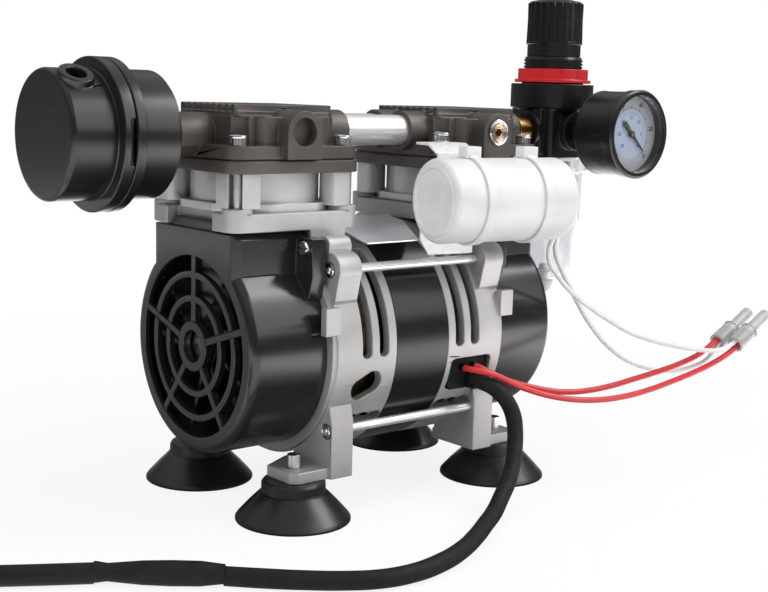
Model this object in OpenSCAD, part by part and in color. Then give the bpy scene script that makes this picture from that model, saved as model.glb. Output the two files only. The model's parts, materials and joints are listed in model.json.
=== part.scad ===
// Twin-cylinder oil-free piston vacuum pump on four suction feet.
// X runs along the motor shaft, -Y is the front, Z is up, and the feet stand on z = 0.

/* [Motor] */
// Height of the motor shaft above the floor
shaft_h = 72; // [68:1:84]
// Outer radius of the stator and of the frame barrels
barrel_r = 52; // [48:0.5:54]
// Width of the stator stack along the shaft
stack_w = 30.6; // [20:0.2:34]
// Wall of the frame barrels
barrel_wall = 4.5; // [3:0.5:6]
// Radius of the motor shaft
shaft_r = 6; // [5:0.5:7]
// Radial air gap between rotor and stator
air_gap = 0.5; // [0.3:0.1:1]

/* [End frames] */
// Distance from the middle to the inner face of each frame plate
plate_in = 36; // [34:0.5:38]
// Thickness of the frame plate
plate_t = 12; // [10:0.5:14]
// Tie rods: distance to the front and rear of the shaft
tie_y = 44.6; // [42:0.2:47]
// Upper tie rods above the shaft
tie_up = 36; // [34:0.5:38]
// Lower tie rods below the shaft
tie_down = 34; // [32:0.5:36]
// Radius of the tie rods
tie_r = 2; // [1.5:0.1:2.5]
// Width of one ventilation slot
slot_w = 5.2; // [3:0.2:6]

/* [Cylinders] */
// Distance of each cylinder's axis from the middle
cyl_x = 56; // [54:0.5:60]
// Bore radius
bore_r = 24; // [23:0.25:25]
// Cylinder wall
cyl_wall = 4; // [3:0.5:5]
// Height of the cylinder above the deck
cyl_h = 16.5; // [12:0.5:20]
// Throw of the eccentrics
throw = 4; // [2:0.5:4.5]
// Half spacing of the head bolts
bolt_half = 27; // [26.5:0.5:28]
// Radius of the head bolts
bolt_r = 2; // [1.5:0.1:2.3]

/* [Heads] */
// Half width of the square head flange
flange_half = 33.5; // [33:0.5:35]
// Thickness of the valve plate
valve_t = 5.2; // [4:0.2:7]
// Height of the pipe ports above the valve plate
port_up = 12; // [11:0.5:14]
// Distance of the crossover tubes to the front and rear
tube_y = 9.5; // [9.3:0.1:11]
// Outer radius of the crossover tubes
tube_r = 7; // [5:0.5:7.5]
// Radius of a G1/4 pipe port
port_r = 5.9; // [5:0.1:6.6]
// Cooling fins on each head
fin_count = 9; // [5:1:12]

/* [Fan covers] */
// Radius of the round part of the fan cover
drum_r = 47; // [45:0.5:48]
// Wall of the moulded parts
cover_wall = 2.5; // [1.5:0.25:3.5]
// Reach of each fan cover from the middle
cover_end = 88; // [84:0.5:92]
// Radius of the grille opening
grille_r = 39.5; // [36:0.5:41]
// Width of a grille bar
bar_w = 3; // [2:0.25:4]
// Number of grille spokes
spoke_count = 5; // [3:1:8]
// Number of fan blades
blade_count = 9; // [5:1:12]

/* [Silencer] */
// Radius of the silencer housing
muffler_r = 26.3; // [24:0.5:28]
// Length of the silencer from its collar to its closed end
muffler_len = 25; // [20:1:32]
// Drop of the silencer's axis below the head's front port
muffler_drop = 2.6; // [0:0.2:3]
// Radius of the silencer's inlet hole
inlet_r = 4; // [3:0.2:4.6]

/* [Regulator] */
// Distance of the regulator's axis from the middle
reg_x = 131; // [129:0.5:136]
// Radius of the regulator knob
knob_r = 14.4; // [12:0.2:15]
// Radius of the gauge case
gauge_r = 21.5; // [18:0.5:23]
// Distance from the regulator's axis to the front of the gauge
gauge_front = 60; // [56:1:66]
// Lift of the knob to unlock it
knob_lift = 3; // [2:0.5:3.5]

/* [Capacitor] */
// Radius of the capacitor
cap_r = 18.5; // [16:0.5:19]
// Length of the capacitor
cap_len = 66.5; // [56:0.5:70]
// Angle by which the capacitor and its bracket are turned about the bracket's bolt
bracket_turn = 8.4; // [0:0.2:10]

/* [Feet] */
// Distance of the feet to the left and right
foot_x = 59.7; // [58:0.1:62]
// Distance of the feet to the front and rear
foot_y = 37.7; // [36:0.1:39]
// Radius of a suction cup
cup_r = 25; // [20:0.5:27]
// Underside of the foot plates above the floor
foot_h = 17.5; // [14:0.5:20]

/* [Cords] */
// Diameter of the power lead
lead_d = 7.4; // [6.6:0.2:8]
// Diameter of the white capacitor wires
white_d = 2.3; // [2:0.1:2.6]
// Diameter of the red motor wires
red_d = 2.8; // [2.4:0.1:3]

/* [Hidden] */
$fn = 48;
eps = 0.01;

// Clearances: pieces that are bolted or slide together
fit = 0.05;
gap = 0.3;

// Heights that follow from the driving sizes
deck_t = 7.7;
deck_bottom = shaft_h + barrel_r;
deck_top = deck_bottom + deck_t;
valve_z = deck_top + cyl_h;
gasket_t = 0.6;
flange_z = valve_z + valve_t + gasket_t;
flange_t = 5.5;
flange_top = flange_z + flange_t;
port_z = valve_z + valve_t + port_up;
muffler_z = port_z - muffler_drop;
plate_out = plate_in + plate_t;
stack_half = stack_w / 2;
rim_t = 2;
cover_in = plate_out + rim_t;
rotor_r = 26.4;
stator_bore = rotor_r + air_gap;
corner_r = 8;

// Colours
cast_alu = [0.74, 0.73, 0.72];
bright_alu = [0.83, 0.83, 0.82];
taupe = [0.30, 0.28, 0.26];
charcoal = [0.16, 0.16, 0.17];
black = [0.08, 0.08, 0.08];
rubber = [0.11, 0.11, 0.12];
steel = [0.72, 0.72, 0.73];
brass = [0.78, 0.62, 0.30];
white = [0.92, 0.92, 0.92];
red = [0.80, 0.10, 0.12];
copper = [0.72, 0.42, 0.22];
clear = [0.88, 0.90, 0.92, 0.4];

// Helpers: extrusions whose outlines are drawn in the YZ, XZ and XY planes
module along_x(x0, len) translate([x0, 0, 0]) rotate([90, 0, 90]) linear_extrude(len) children();
module along_y(y0, len) translate([0, y0 + len, 0]) rotate([90, 0, 0]) linear_extrude(len) children();
module along_z(z0, len) translate([0, 0, z0]) linear_extrude(len) children();
module rod_x(x0, len, r) translate([x0, 0, 0]) rotate([0, 90, 0]) cylinder(h = len, r = r);
module tube_x(x0, len, r, bore) {
    difference() {
        rod_x(x0, len, r);
        rod_x(x0 - eps, len + 2 * eps, bore);
    }
}
// A solid turned about the X axis from an outline of [along x, radius]
module turned_x() rotate([0, 90, 0]) rotate_extrude($fn = 72) rotate(90) mirror([0, 1]) children();
module both_y() for (s = [-1, 1]) scale([1, s, 1]) children();
module both_ends() {
    children();
    mirror([1, 0, 0]) children();
}
module mirrored_x(flip) mirror([flip ? 1 : 0, 0, 0]) children();
module rounded_square(half_a, half_b, r) {
    square([2 * half_a, 2 * (half_b - r)], center = true);
    square([2 * (half_a - r), 2 * half_b], center = true);
    for (a = [-1, 1], b = [-1, 1]) translate([a * (half_a - r), b * (half_b - r)]) circle(r);
}
module at_bolts() for (a = [-1, 1], b = [-1, 1]) translate([cyl_x + a * bolt_half, b * bolt_half, 0])
    children();
module at_ties() {
    for (s = [-1, 1]) {
        translate([0, s * tie_y, shaft_h + tie_up]) children();
        translate([0, s * tie_y, shaft_h - tie_down]) children();
    }
}
module at_feet() for (a = [-1, 1], b = [-1, 1]) translate([a * foot_x, b * foot_y, 0]) children();
module hex(across) circle(r = across / sqrt(3), $fn = 6);

// Swept cords: one ring of points for each route point, joined into one polyhedron
function unit(v) = v / norm(v);
function tangent(p, i) = unit(p[min(i + 1, len(p) - 1)] - p[max(i - 1, 0)]);
function ring_at(c, t, ref, r, n) =
    let (s = unit(cross(t, ref)), u = cross(s, t))
    [for (k = [0 : n - 1]) c + r * (cos(360 * k / n) * s + sin(360 * k / n) * u)];
module sweep(path, r, n, ref) {
    m = len(path);
    points = [for (i = [0 : m - 1]) each ring_at(path[i], tangent(path, i), ref, r, n)];
    sides = [for (i = [0 : m - 2], k = [0 : n - 1])
        [i * n + k, i * n + (k + 1) % n, (i + 1) * n + (k + 1) % n, (i + 1) * n + k]];
    faces = concat([for (q = sides) [q[0], q[2], q[1]]], [for (q = sides) [q[0], q[3], q[2]]],
        [[for (k = [0 : n - 1]) k]], [[for (k = [n - 1 : -1 : 0]) (m - 1) * n + k]]);
    polyhedron(points = points, faces = faces, convexity = 6);
}

// End frames
leg_in = 19;
leg_out = 48.5;
tower_half = 33.5;
tower_in = 31;
lug_r = 7.5;
bearing_r = 16;
bearing_w = 10;
tab_z = shaft_h + 9;
screw_y = 40;
screw_z = shaft_h + 45.5;
screw_boss_r = 4.5;
deck_notch = 18;
deck_cut = cover_end - 4.5;
skirt_h = 4;
slot_xs = [22.4, 31.8];
slot_sweep = 52;

module frame_outline() {
    translate([0, shaft_h]) circle(barrel_r, $fn = 96);
    for (s = [-1, 1]) scale([s, 1]) {
        translate([tie_y, shaft_h + tie_up]) circle(lug_r);
        translate([screw_y, screw_z]) circle(screw_boss_r);
        polygon([[25, shaft_h + 44], [tie_y, shaft_h + tie_up + lug_r], [tie_y + lug_r, shaft_h + tie_up],
            [barrel_r - 3, shaft_h + 23], [35, shaft_h + 10]]);
        polygon([[leg_in, foot_h], [leg_out, foot_h], [leg_out, shaft_h - 30], [barrel_r - 6, shaft_h - 20],
            [35, shaft_h - 15], [leg_in + 4, shaft_h - 42]]);
    }
}
module vent_slot(x, w, from, sweep_angle) {
    translate([x - w / 2, 0, shaft_h]) rotate([0, 90, 0]) rotate([0, 0, -90 - from - sweep_angle])
        rotate_extrude(angle = sweep_angle, $fn = 96) translate([barrel_r - 8, 0]) square([12, w]);
    for (a = [from, from + sweep_angle])
        translate([x, 0, shaft_h]) rotate([-a, 0, 0]) translate([0, -barrel_r + 8, 0]) rotate([90, 0, 0])
            cylinder(h = 12, r = w / 2);
}
module air_holes() {
    for (k = [0 : 4]) translate([0, 0, shaft_h]) rotate([18 + 72 * k, 0, 0]) translate([0, 33, 0])
        rod_x(plate_in - 1, plate_t + 4, 9);
}
module lower_scallops() {
    for (x = [20, 26.5, 33]) translate([x, 0, shaft_h]) rotate([38, 0, 0]) translate([0, -barrel_r + 8, 0])
        rotate([90, 0, 0]) cylinder(h = 12, r = 4);
}
lead_window_x = 30.7;
lead_window_half = [12.2, 7.5];
lead_window_z = 16;
module lead_window_cut() {
    along_y(-barrel_r - 2, 12) translate([lead_window_x, shaft_h - lead_window_z])
        rounded_square(lead_window_half[0], lead_window_half[1], 2.5);
}
module small_window_cut() {
    along_y(-barrel_r - 2, 12) translate([30.5, shaft_h - 15]) rotate(-25) rounded_square(8, 5, 4.5);
}
module deck() {
    difference() {
        union() {
            along_z(deck_bottom, deck_t) translate([cyl_x, 0])
                rounded_square(flange_half, flange_half, corner_r);
            at_bolts() translate([0, 0, deck_bottom]) cylinder(h = deck_t + 2, r = flange_half - bolt_half);
        }
        translate([deck_cut, -deck_notch, deck_bottom - 2]) cube([20, 2 * deck_notch, deck_t + 4]);
        at_bolts() translate([0, 0, deck_bottom - 2]) cylinder(h = deck_t + 6, r = bolt_r + fit);
    }
}
module tower() {
    difference() {
        translate([tower_in, -tower_half, shaft_h + 30])
            cube([cover_in - tower_in, 2 * tower_half, barrel_r - 30 + eps]);
        translate([plate_in + 4, -tower_half + 5, shaft_h + 36]) cube([20, 2 * tower_half - 10, 30]);
        rod_x_at_shaft(tower_in - 1, plate_in - tower_in + 1, barrel_r - barrel_wall);
        for (s = [-1, 1]) translate([0, s * tie_y, shaft_h + tie_up]) rod_x(tower_in - 1, 30, lug_r + 1);
    }
}
module rod_x_at_shaft(x0, len, r) translate([0, 0, shaft_h]) rod_x(x0, len, r);
foot_front = 47;
foot_back = 20;
foot_end = 67;
foot_t = 5;
module foot_plates() {
    both_y() along_z(foot_h, foot_t) polygon([[plate_in, -foot_front], [foot_end - 3, -foot_front],
        [foot_end, -foot_front + 3], [foot_end, -foot_back - 8], [plate_out + 4, -foot_back], [plate_in,
            -foot_back]]);
}
module frame_tabs() {
    both_y() translate([plate_out - 1, -barrel_r - 0.5, tab_z]) cube([8, 4, 12]);
}
module end_frame(has_lead_window) {
    color(cast_alu) difference() {
        union() {
            difference() {
                union() {
                    translate([0, 0, shaft_h]) rod_x(stack_half, plate_in - stack_half + eps, barrel_r);
                    along_x(plate_in, plate_t) frame_outline();
                    rod_x_at_shaft(plate_out - eps, rim_t, barrel_r - 1);
                }
                rod_x_at_shaft(stack_half - 1, plate_in - stack_half + 1, barrel_r - barrel_wall);
                rod_x_at_shaft(plate_out, rim_t + 1, barrel_r - 1 - barrel_wall);
                air_holes();
            }
            rod_x_at_shaft(plate_in - 2, plate_t + 2, bearing_r + 4);
            tower();
            deck();
            foot_plates();
            frame_tabs();
        }
        rod_x_at_shaft(plate_out - bearing_w, bearing_w + 1, bearing_r + fit);
        rod_x_at_shaft(plate_in - 3, plate_t, shaft_r + 3);
        at_ties() rod_x(plate_in - 1, plate_t + 4, tie_r + fit);
        for (s = [-1, 1]) translate([0, s * screw_y, screw_z]) rod_x(plate_in + 2, plate_t, 1.5 + fit);
        at_feet() cylinder(h = 40, r = 3 + fit);
        translate([cyl_x, 0, deck_bottom - skirt_h - gap])
            cylinder(h = skirt_h + deck_t + 1, r = bore_r + cyl_wall / 2 + fit);
        both_y() for (x = slot_xs) vent_slot(x, slot_w, 0, slot_sweep);
        both_y() lower_scallops();
        if (has_lead_window) lead_window_cut();
        else {
            small_window_cut();
            tie_counterbores();
        }
    }
}
module tie_counterbores() at_ties() rod_x(plate_out - 4, 8, tie_head_r + gap);
module right_frame() end_frame(true);
module left_frame() mirror([1, 0, 0]) end_frame(false);

// Motor
module stator_core() {
    color(black) difference() {
        rod_x_at_shaft(-stack_half, stack_w, barrel_r);
        rod_x_at_shaft(-stack_half - 1, stack_w + 2, stator_bore);
        for (k = [0 : 23]) translate([0, 0, shaft_h]) rotate([15 * k, 0, 0])
            translate([-stack_half - 1, 0, stator_bore - 1])
            translate([0, -1.2, 0]) cube([stack_w + 2, 2.4, 12]);
    }
}
winding_in = 29;
winding_out = 42;
winding_len = 15;
module stator_windings() {
    color(copper) both_ends() translate([0, 0, shaft_h]) turned_x() translate([stack_half + gap / 2, 0]) {
        polygon([[0, winding_in], [0, winding_out], [winding_len - 4, winding_out + 1], [winding_len,
            winding_out - 4],
            [winding_len, winding_in + 5], [winding_len - 4, winding_in + 1]]);
    }
}
module main_bearings() {
    color(steel) both_ends() translate([0, 0, shaft_h]) {
        tube_x(plate_out - bearing_w, bearing_w, bearing_r, bearing_r - 3.5);
        tube_x(plate_out - bearing_w, bearing_w, shaft_r + 3, shaft_r + 0.02);
        tube_x(plate_out - bearing_w + 0.5, 1, bearing_r - 3.5 + eps, shaft_r + 3 - eps);
        tube_x(plate_out - 1.5, 1, bearing_r - 3.5 + eps, shaft_r + 3 - eps);
    }
}
tie_head_t = 3.2;
tie_head_r = 3.1;
module tie_rods() {
    head_x = -plate_out + 4 - tie_head_t;
    color(steel) at_ties() difference() {
        union() {
            rod_x(head_x + 1, 2 * plate_out - 1 - 1 - head_x - plate_out, tie_r);
            rod_x(head_x, tie_head_t, tie_head_r);
        }
        translate([head_x - 1, 0, 0]) rotate([90, 0, 90]) linear_extrude(3) hex(2.6);
    }
}
module motor_shaft() {
    color(steel) translate([0, 0, shaft_h]) {
        rod_x(-cover_end + 5, 2 * cover_end - 10, shaft_r);
        tube_x(-plate_in - 1, 5, shaft_r + 2, shaft_r - 1);
        tube_x(plate_in - 4, 5, shaft_r + 2, shaft_r - 1);
    }
}
module rotor_core() {
    color(steel) translate([0, 0, shaft_h]) {
        tube_x(-stack_half - 1, stack_w + 2, rotor_r, shaft_r + fit);
        both_ends() tube_x(stack_half + 1 - eps, 4, rotor_r - 1, rotor_r - 10);
    }
}

// Cranks and pistons: each rod rides on an eccentric whose throw is half the stroke
pin_r = 10.5;
rod_w = 10;
big_end_r = 20;
ecc_w = 11;
piston_t = 7;
top_gap = 0.8;
rod_len = valve_z - top_gap - (shaft_h + throw);
crank_bearing_r = 16;
function pin_z(side) = shaft_h - side * throw;
module eccentric() {
    difference() {
        union() {
            translate([0, 0, -throw]) rod_x(cyl_x - ecc_w / 2, ecc_w, pin_r);
            rod_x(cyl_x - ecc_w / 2 - 1.5, 1.6, pin_r + 1);
            difference() {
                rod_x(cyl_x + ecc_w / 2 - eps, 4, 22);
                translate([cyl_x, -30, -60 + 2]) cube([20, 60, 54]);
                translate([cyl_x, -30, 12]) cube([20, 12, 20]);
                translate([cyl_x, 18, 12]) cube([20, 12, 20]);
            }
            rod_x(cyl_x + ecc_w / 2 - eps, 4, 10);
        }
        rod_x(cyl_x - 20, 40, shaft_r + 0.02);
    }
}
module eccentrics() {
    color(steel) translate([0, 0, shaft_h]) {
        eccentric();
        rotate([180, 0, 0]) mirror([1, 0, 0]) eccentric();
    }
}
module crank_bearing(side) {
    color(steel) translate([0, 0, pin_z(side)]) mirrored_x(side < 0) {
        tube_x(cyl_x - 4.5, 9, crank_bearing_r, crank_bearing_r - 2);
        tube_x(cyl_x - 4.5, 9, pin_r + 1.8, pin_r + 0.03);
        tube_x(cyl_x - 4, 0.8, crank_bearing_r - 2 + eps, pin_r + 1.8 - eps);
        tube_x(cyl_x + 3.2, 0.8, crank_bearing_r - 2 + eps, pin_r + 1.8 - eps);
    }
}
module left_crank_bearing() crank_bearing(-1);
module right_crank_bearing() crank_bearing(1);
cup_disc_r = bore_r - throw - 0.4;
module piston_rod(side) {
    shank_top = rod_len - piston_t;
    color(bright_alu) translate([0, 0, pin_z(side)]) mirrored_x(side < 0) {
        difference() {
            union() {
                rod_x(cyl_x - rod_w / 2, rod_w, big_end_r);
                translate([cyl_x, 0, 0]) along_x(-rod_w / 2 + 1.5, rod_w - 3) polygon([[-12, 8], [12, 8],
                    [8, shank_top], [-8, shank_top]]);
                translate([cyl_x, 0, 0]) along_x(-rod_w / 2, rod_w) polygon([[-2.5, 15], [2.5, 15],
                    [2.5, shank_top], [-2.5, shank_top]]);
                translate([cyl_x, 0, shank_top - 3]) cylinder(h = 4, r1 = 8, r2 = cup_disc_r - 4);
                translate([cyl_x, 0, shank_top + 1 - eps]) cylinder(h = 2, r = cup_disc_r - 1.5);
            }
            rod_x(cyl_x - rod_w, 2 * rod_w, crank_bearing_r + fit);
        }
    }
}
module left_piston_rod() piston_rod(-1);
module right_piston_rod() piston_rod(1);
module piston_cup(side) {
    z0 = rod_len - piston_t + 3;
    color([0.55, 0.52, 0.45]) translate([side * cyl_x, 0, pin_z(side) + z0]) difference() {
        cylinder(h = piston_t - 3, r = cup_disc_r);
        translate([0, 0, 1]) cylinder(h = piston_t, r1 = cup_disc_r - 1, r2 = cup_disc_r - 0.6);
    }
    color(steel) translate([side * cyl_x, 0, pin_z(side) + z0 + 1 - eps]) {
        cylinder(h = 1.2, r = cup_disc_r - 3);
        cylinder(h = 2.6, r = 3);
    }
}
module left_piston_cup() piston_cup(-1);
module right_piston_cup() piston_cup(1);

// Fans: a hub with raked blades, one at each end of the shaft
fan_in = 70;
fan_out = 83;
fan_r = 38;
module fan() {
    color(black) translate([0, 0, shaft_h]) difference() {
        union() {
            rod_x(fan_in, fan_out - fan_in, 11);
            rod_x(fan_in, 1.6, 24);
            intersection() {
                for (k = [0 : blade_count - 1]) rotate([360 / blade_count * k, 0, 0])
                    translate([(fan_in + fan_out) / 2, 0, 9]) rotate([0, 0, 38])
                        translate([-9, -0.9, 0]) cube([18, 1.8, fan_r]);
                tube_x(fan_in, fan_out - fan_in, fan_r, 10);
            }
        }
        rod_x(fan_in - 1, 20, shaft_r + 0.02);
    }
}
module fans() both_ends() fan();

// Fan covers: a drum joined to a square tower, with a grille in the end
tower_side = 33;
tower_top = deck_bottom - 0.8;
crest_top = deck_bottom + 3.5;
edge_r = 4;
module cover_plan(inset, top) {
    translate([0, shaft_h]) circle(drum_r - inset, $fn = 96);
    polygon([[-tower_side + inset, shaft_h], [tower_side - inset, shaft_h], [tower_side - inset,
        top - 2 - inset],
        [tower_side - 3 - inset, top - inset], [-tower_side + 3 + inset, top - inset], [-tower_side + inset,
            top - 2 - inset]]);
}
module drum_solid(inset) {
    end = cover_end - inset;
    r = drum_r - inset;
    round_r = max(edge_r - inset, 1);
    translate([0, 0, shaft_h]) turned_x() union() {
        translate([cover_in - eps, 0]) square([end - round_r - cover_in, r]);
        translate([cover_in - eps, 0]) square([end - cover_in, r - round_r]);
        translate([end - round_r, r - round_r]) circle(round_r);
    }
}
module tower_solid(inset) {
    end = cover_end - inset;
    round_r = max(edge_r - inset, 1);
    intersection() {
        along_x(cover_in, end - cover_in) cover_plan(inset, tower_top);
        along_z(shaft_h, 70) union() {
            translate([0, -tower_side]) square([end - round_r, 2 * tower_side]);
            translate([0, -tower_side + inset + round_r]) square([end, 2 * (tower_side - inset - round_r)]);
            for (s = [-1, 1]) translate([end - round_r, s * (tower_side - inset - round_r)])
                circle(round_r);
        }
        translate([cover_in - 1, -tower_side, shaft_h]) cube([60, 2 * tower_side, 60]);
    }
}
module cover_crest() {
    difference() {
        translate([deck_cut + 0.4, -deck_notch + 1, tower_top - 4])
            cube([cover_end - deck_cut - 1.4, 2 * deck_notch - 2, crest_top - tower_top + 4]);
        for (s = [-1, 1]) translate([deck_cut - 1, s * (deck_notch - 1), crest_top]) rotate([45, 0, 0])
            translate([0, -1.4, -1.4]) cube([10, 2.8, 2.8]);
    }
}
module grille_bars() {
    t = 3;
    intersection() {
        translate([cover_end - t - 0.6, 0, 0]) union() {
            translate([0, 0, shaft_h]) for (r = [20.8, 31.3]) tube_x(0, t, r + bar_w / 2, r - bar_w / 2);
            translate([0, 0, shaft_h]) tube_x(-0.4, t + 0.8, 11, 7);
            translate([0, 0, shaft_h]) for (k = [0 : spoke_count - 1]) rotate([360 / spoke_count * k, 0, 0])
                translate([0, -bar_w / 2, 9]) cube([t, bar_w, grille_r - 8]);
        }
        rod_x_at_shaft(cover_end - 6, 8, grille_r + 1);
    }
}
pocket = [66, 18, 6];
module cover_pockets() {
    both_y() translate([pocket[0], -tower_side - 4, shaft_h + 28]) cube([pocket[1], 6.5, pocket[2]]);
}
module cover_ear() {
    both_y() along_x(cover_in, 7) polygon([[-tower_side + 2, screw_z + 4], [-screw_y - 4, screw_z + 4],
        [-screw_y - 5, screw_z - 12], [-screw_y - 2, screw_z - 22], [-tower_side + 2, screw_z - 26]]);
}
module fan_cover() {
    color(charcoal) difference() {
        union() {
            difference() {
                union() {
                    drum_solid(0);
                    tower_solid(0);
                    cover_crest();
                }
                difference() {
                    union() {
                        drum_solid(cover_wall);
                        tower_solid(cover_wall);
                        translate([cover_in - 1, -tower_side + cover_wall, shaft_h])
                            cube([2, 2 * (tower_side - cover_wall), tower_top - cover_wall - 2 - shaft_h]);
                        rod_x_at_shaft(cover_in - 1, 2, drum_r - cover_wall);
                    }
                    pocket_backs();
                }
                rod_x_at_shaft(cover_end - cover_wall - 1, cover_wall + 3, grille_r);
                cover_pockets();
            }
            grille_bars();
            cover_ear();
        }
        rod_x_at_shaft(cover_in - 1, 8, drum_r - cover_wall);
        translate([cyl_x, 0, shaft_h + 32]) cylinder(h = 40, r = bore_r + cyl_wall / 2 + 1.5);
        for (s = [-1, 1]) translate([0, s * screw_y, screw_z]) rod_x(cover_in - 1, 12, 1.7);
        both_y() translate([cover_in - 1, -barrel_r - 1, tab_z - 0.5]) cube([8.5, 8, 13]);
    }
}
module pocket_backs() {
    both_y() translate([pocket[0] - 2, -tower_side + 1, shaft_h + 26])
        cube([pocket[1] + 4, 3, pocket[2] + 4]);
}
module right_fan_cover() fan_cover();
module left_fan_cover() mirror([1, 0, 0]) fan_cover();
module cover_screws() {
    color(steel) both_ends() for (s = [-1, 1]) translate([0, s * screw_y, screw_z]) difference() {
        union() {
            rod_x(cover_in + 7, 2.2, 2.8);
            rod_x(plate_in + 4, cover_in + 7.5 - plate_in - 4, 1.5);
        }
        translate([cover_in + 8.2, -3, -0.4]) cube([2, 6, 0.8]);
    }
}

// Cylinders, valve plates and heads
module post_outline(a, b) {
    difference() {
        intersection() {
            rounded_square(flange_half - 1, flange_half - 1, corner_r - 1);
            translate([a * bolt_half, b * bolt_half]) circle(9.5);
        }
        translate([a * bolt_half, b * bolt_half]) circle(3.1);
        translate([a * bolt_half, b * bolt_half]) rotate(atan2(b, a)) translate([0, -2.9])
            square([20, 5.8]);
    }
}
module corner_posts(z0, h) {
    for (a = [-1, 1], b = [-1, 1]) along_z(z0, h) translate([cyl_x, 0]) post_outline(a, b);
}
module cylinders() {
    lip_h = 3.4;
    color(bright_alu) both_ends() difference() {
        union() {
            translate([cyl_x, 0, deck_top]) cylinder(h = cyl_h, r = bore_r + cyl_wall);
            translate([cyl_x, 0, deck_bottom - skirt_h])
                cylinder(h = deck_t + skirt_h + 1, r = bore_r + cyl_wall / 2);
            corner_posts(deck_top + 2 + fit, cyl_h - 2 - fit);
            along_z(deck_top, lip_h) translate([cyl_x, 0]) difference() {
                intersection() {
                    square(2 * flange_half - 6, center = true);
                    circle(flange_half - 1);
                }
                for (a = [-1, 1], b = [-1, 1]) translate([a * bolt_half, b * bolt_half])
                    circle(flange_half - bolt_half + 0.5);
            }
        }
        translate([cyl_x, 0, deck_bottom - 5]) cylinder(h = cyl_h + deck_t + 10, r = bore_r);
    }
}
module valve_plates() {
    color(taupe) both_ends() difference() {
        along_z(valve_z, valve_t) translate([cyl_x, 0])
            rounded_square(flange_half + 0.8, flange_half + 0.8, corner_r + 0.8);
        at_bolts() translate([0, 0, valve_z - 1]) cylinder(h = valve_t + 2, r = bolt_r + 0.15);
        for (s = [-1, 1], a = [-1, 0, 1]) translate([cyl_x + 6 * a, s * 11, valve_z - 1])
            cylinder(h = valve_t + 2, r = 2);
    }
}
reed_t = 0.3;
module reed_strip() {
    rounded_square(13, 4, 3.9);
}
module reed_valves() {
    color(steel) both_ends() {
        along_z(valve_z - reed_t, reed_t) translate([cyl_x, -11]) reed_strip();
        along_z(valve_z + valve_t, reed_t) translate([cyl_x, 11]) reed_strip();
    }
}
chamber_x = 21;
chamber_y = 22;
divider = 2;
module chambers(z0, h) {
    for (s = [-1, 1]) translate([cyl_x - chamber_x, s > 0 ? divider / 2 : -chamber_y, z0])
        cube([2 * chamber_x, chamber_y - divider / 2, h]);
}
ring_r = 0.8;
tube_seal_x = 2.2;
module seals() {
    color(black) both_ends() difference() {
        along_z(valve_z + valve_t, gasket_t) translate([cyl_x, 0])
            rounded_square(flange_half - 0.5, flange_half - 0.5, corner_r - 0.5);
        chambers(valve_z + valve_t - 1, gasket_t + 2);
        at_bolts() translate([0, 0, valve_z]) cylinder(h = valve_t + 2, r = bolt_r + 0.3);
    }
    color(black) both_ends() for (s = [-1, 1]) translate([boss_in + tube_seal_x, s * tube_y, port_z])
        rotate([0, 90, 0]) rotate_extrude() translate([tube_r + ring_r, 0]) circle(ring_r, $fn = 24);
}
body_x = 26.5;
body_y = 26;
body_h = 12;
boss_in = 18;
tube_end = 24;
passage_r = 3.8;
bolt_pocket_r = 4.9;
tube_boss_r = 9.5;
front_face = 37;
end_boss_r = 9.6;
end_face = 99;
top_z = flange_top + body_h;
fin_h = 3.2;
module head(end_z) {
    color(taupe) difference() {
        union() {
            along_z(flange_z, flange_t) translate([cyl_x, 0])
                rounded_square(flange_half, flange_half, corner_r);
            along_z(flange_z, flange_t + body_h) translate([cyl_x, 0]) difference() {
                union() {
                    rounded_square(body_x, body_y, 4);
                    rounded_square(body_x - 8, body_y + 4, 4);
                }
                for (a = [-1, 1], b = [-1, 1]) translate([a * bolt_half, b * bolt_half]) circle(6.2);
            }
            along_z(flange_top, body_h + 1.6) translate([cyl_x, 0])
                rounded_square(body_x - 0.5, body_y - 4, 4);
            for (k = [0 : fin_count - 1]) translate([cyl_x - body_x + 1.5,
                -body_y + 5 + (2 * body_y - 12.4) * k / (fin_count - 1), top_z])
                cube([2 * body_x - 3, 2.4, fin_h + 1.6]);
            translate([cyl_x, -front_face, port_z]) rotate([-90, 0, 0])
                cylinder(h = 2 * front_face, r = port_r + 3);
            translate([cyl_x - port_r - 3, -front_face, flange_z])
                cube([2 * port_r + 6, 2 * front_face, port_z - flange_z]);
            for (s = [-1, 1]) translate([0, s * tube_y, port_z]) rod_x(boss_in, 16, tube_boss_r - 0.5);
            translate([0, 0, end_z]) rod_x(cyl_x + 10, end_face - cyl_x - 10, end_boss_r);
            translate([cyl_x + 10, -end_boss_r, flange_top - 1])
                cube([end_face - cyl_x - 10, 2 * end_boss_r, end_z - flange_top + 1]);
        }
        chambers(flange_z - 1, port_z - flange_z + 4);
        translate([cyl_x, -front_face - 1, port_z]) rotate([-90, 0, 0])
            cylinder(h = front_face - chamber_y + 5, r = port_r);
        for (s = [-1, 1]) translate([0, s * tube_y, port_z]) {
            rod_x(boss_in - 1, tube_end + fit - boss_in + 1, tube_r + fit);
            rod_x(boss_in, cyl_x - chamber_x - boss_in + 1, passage_r);
            rod_x(boss_in + tube_seal_x - ring_r - fit, 2 * ring_r + 2 * fit, tube_r + 2 * ring_r + fit);
        }
        translate([0, 0, end_z]) rod_x(cyl_x + chamber_x - 3, end_face - cyl_x - chamber_x + 4, port_r);
        translate([boss_in, -end_boss_r, flange_z - 10]) cube([end_face, 2 * end_boss_r, 10]);
        at_bolts() translate([0, 0, flange_z - 1]) cylinder(h = flange_t + 2, r = bolt_r + 0.15);
        at_bolts() translate([0, 0, flange_top]) cylinder(h = 30, r = bolt_pocket_r);
    }
}
module right_head() head(port_z);
module left_head() mirror([1, 0, 0]) head(muffler_z);
bracket_t = 1.2;
bolt_head_r = 3.6;
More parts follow.
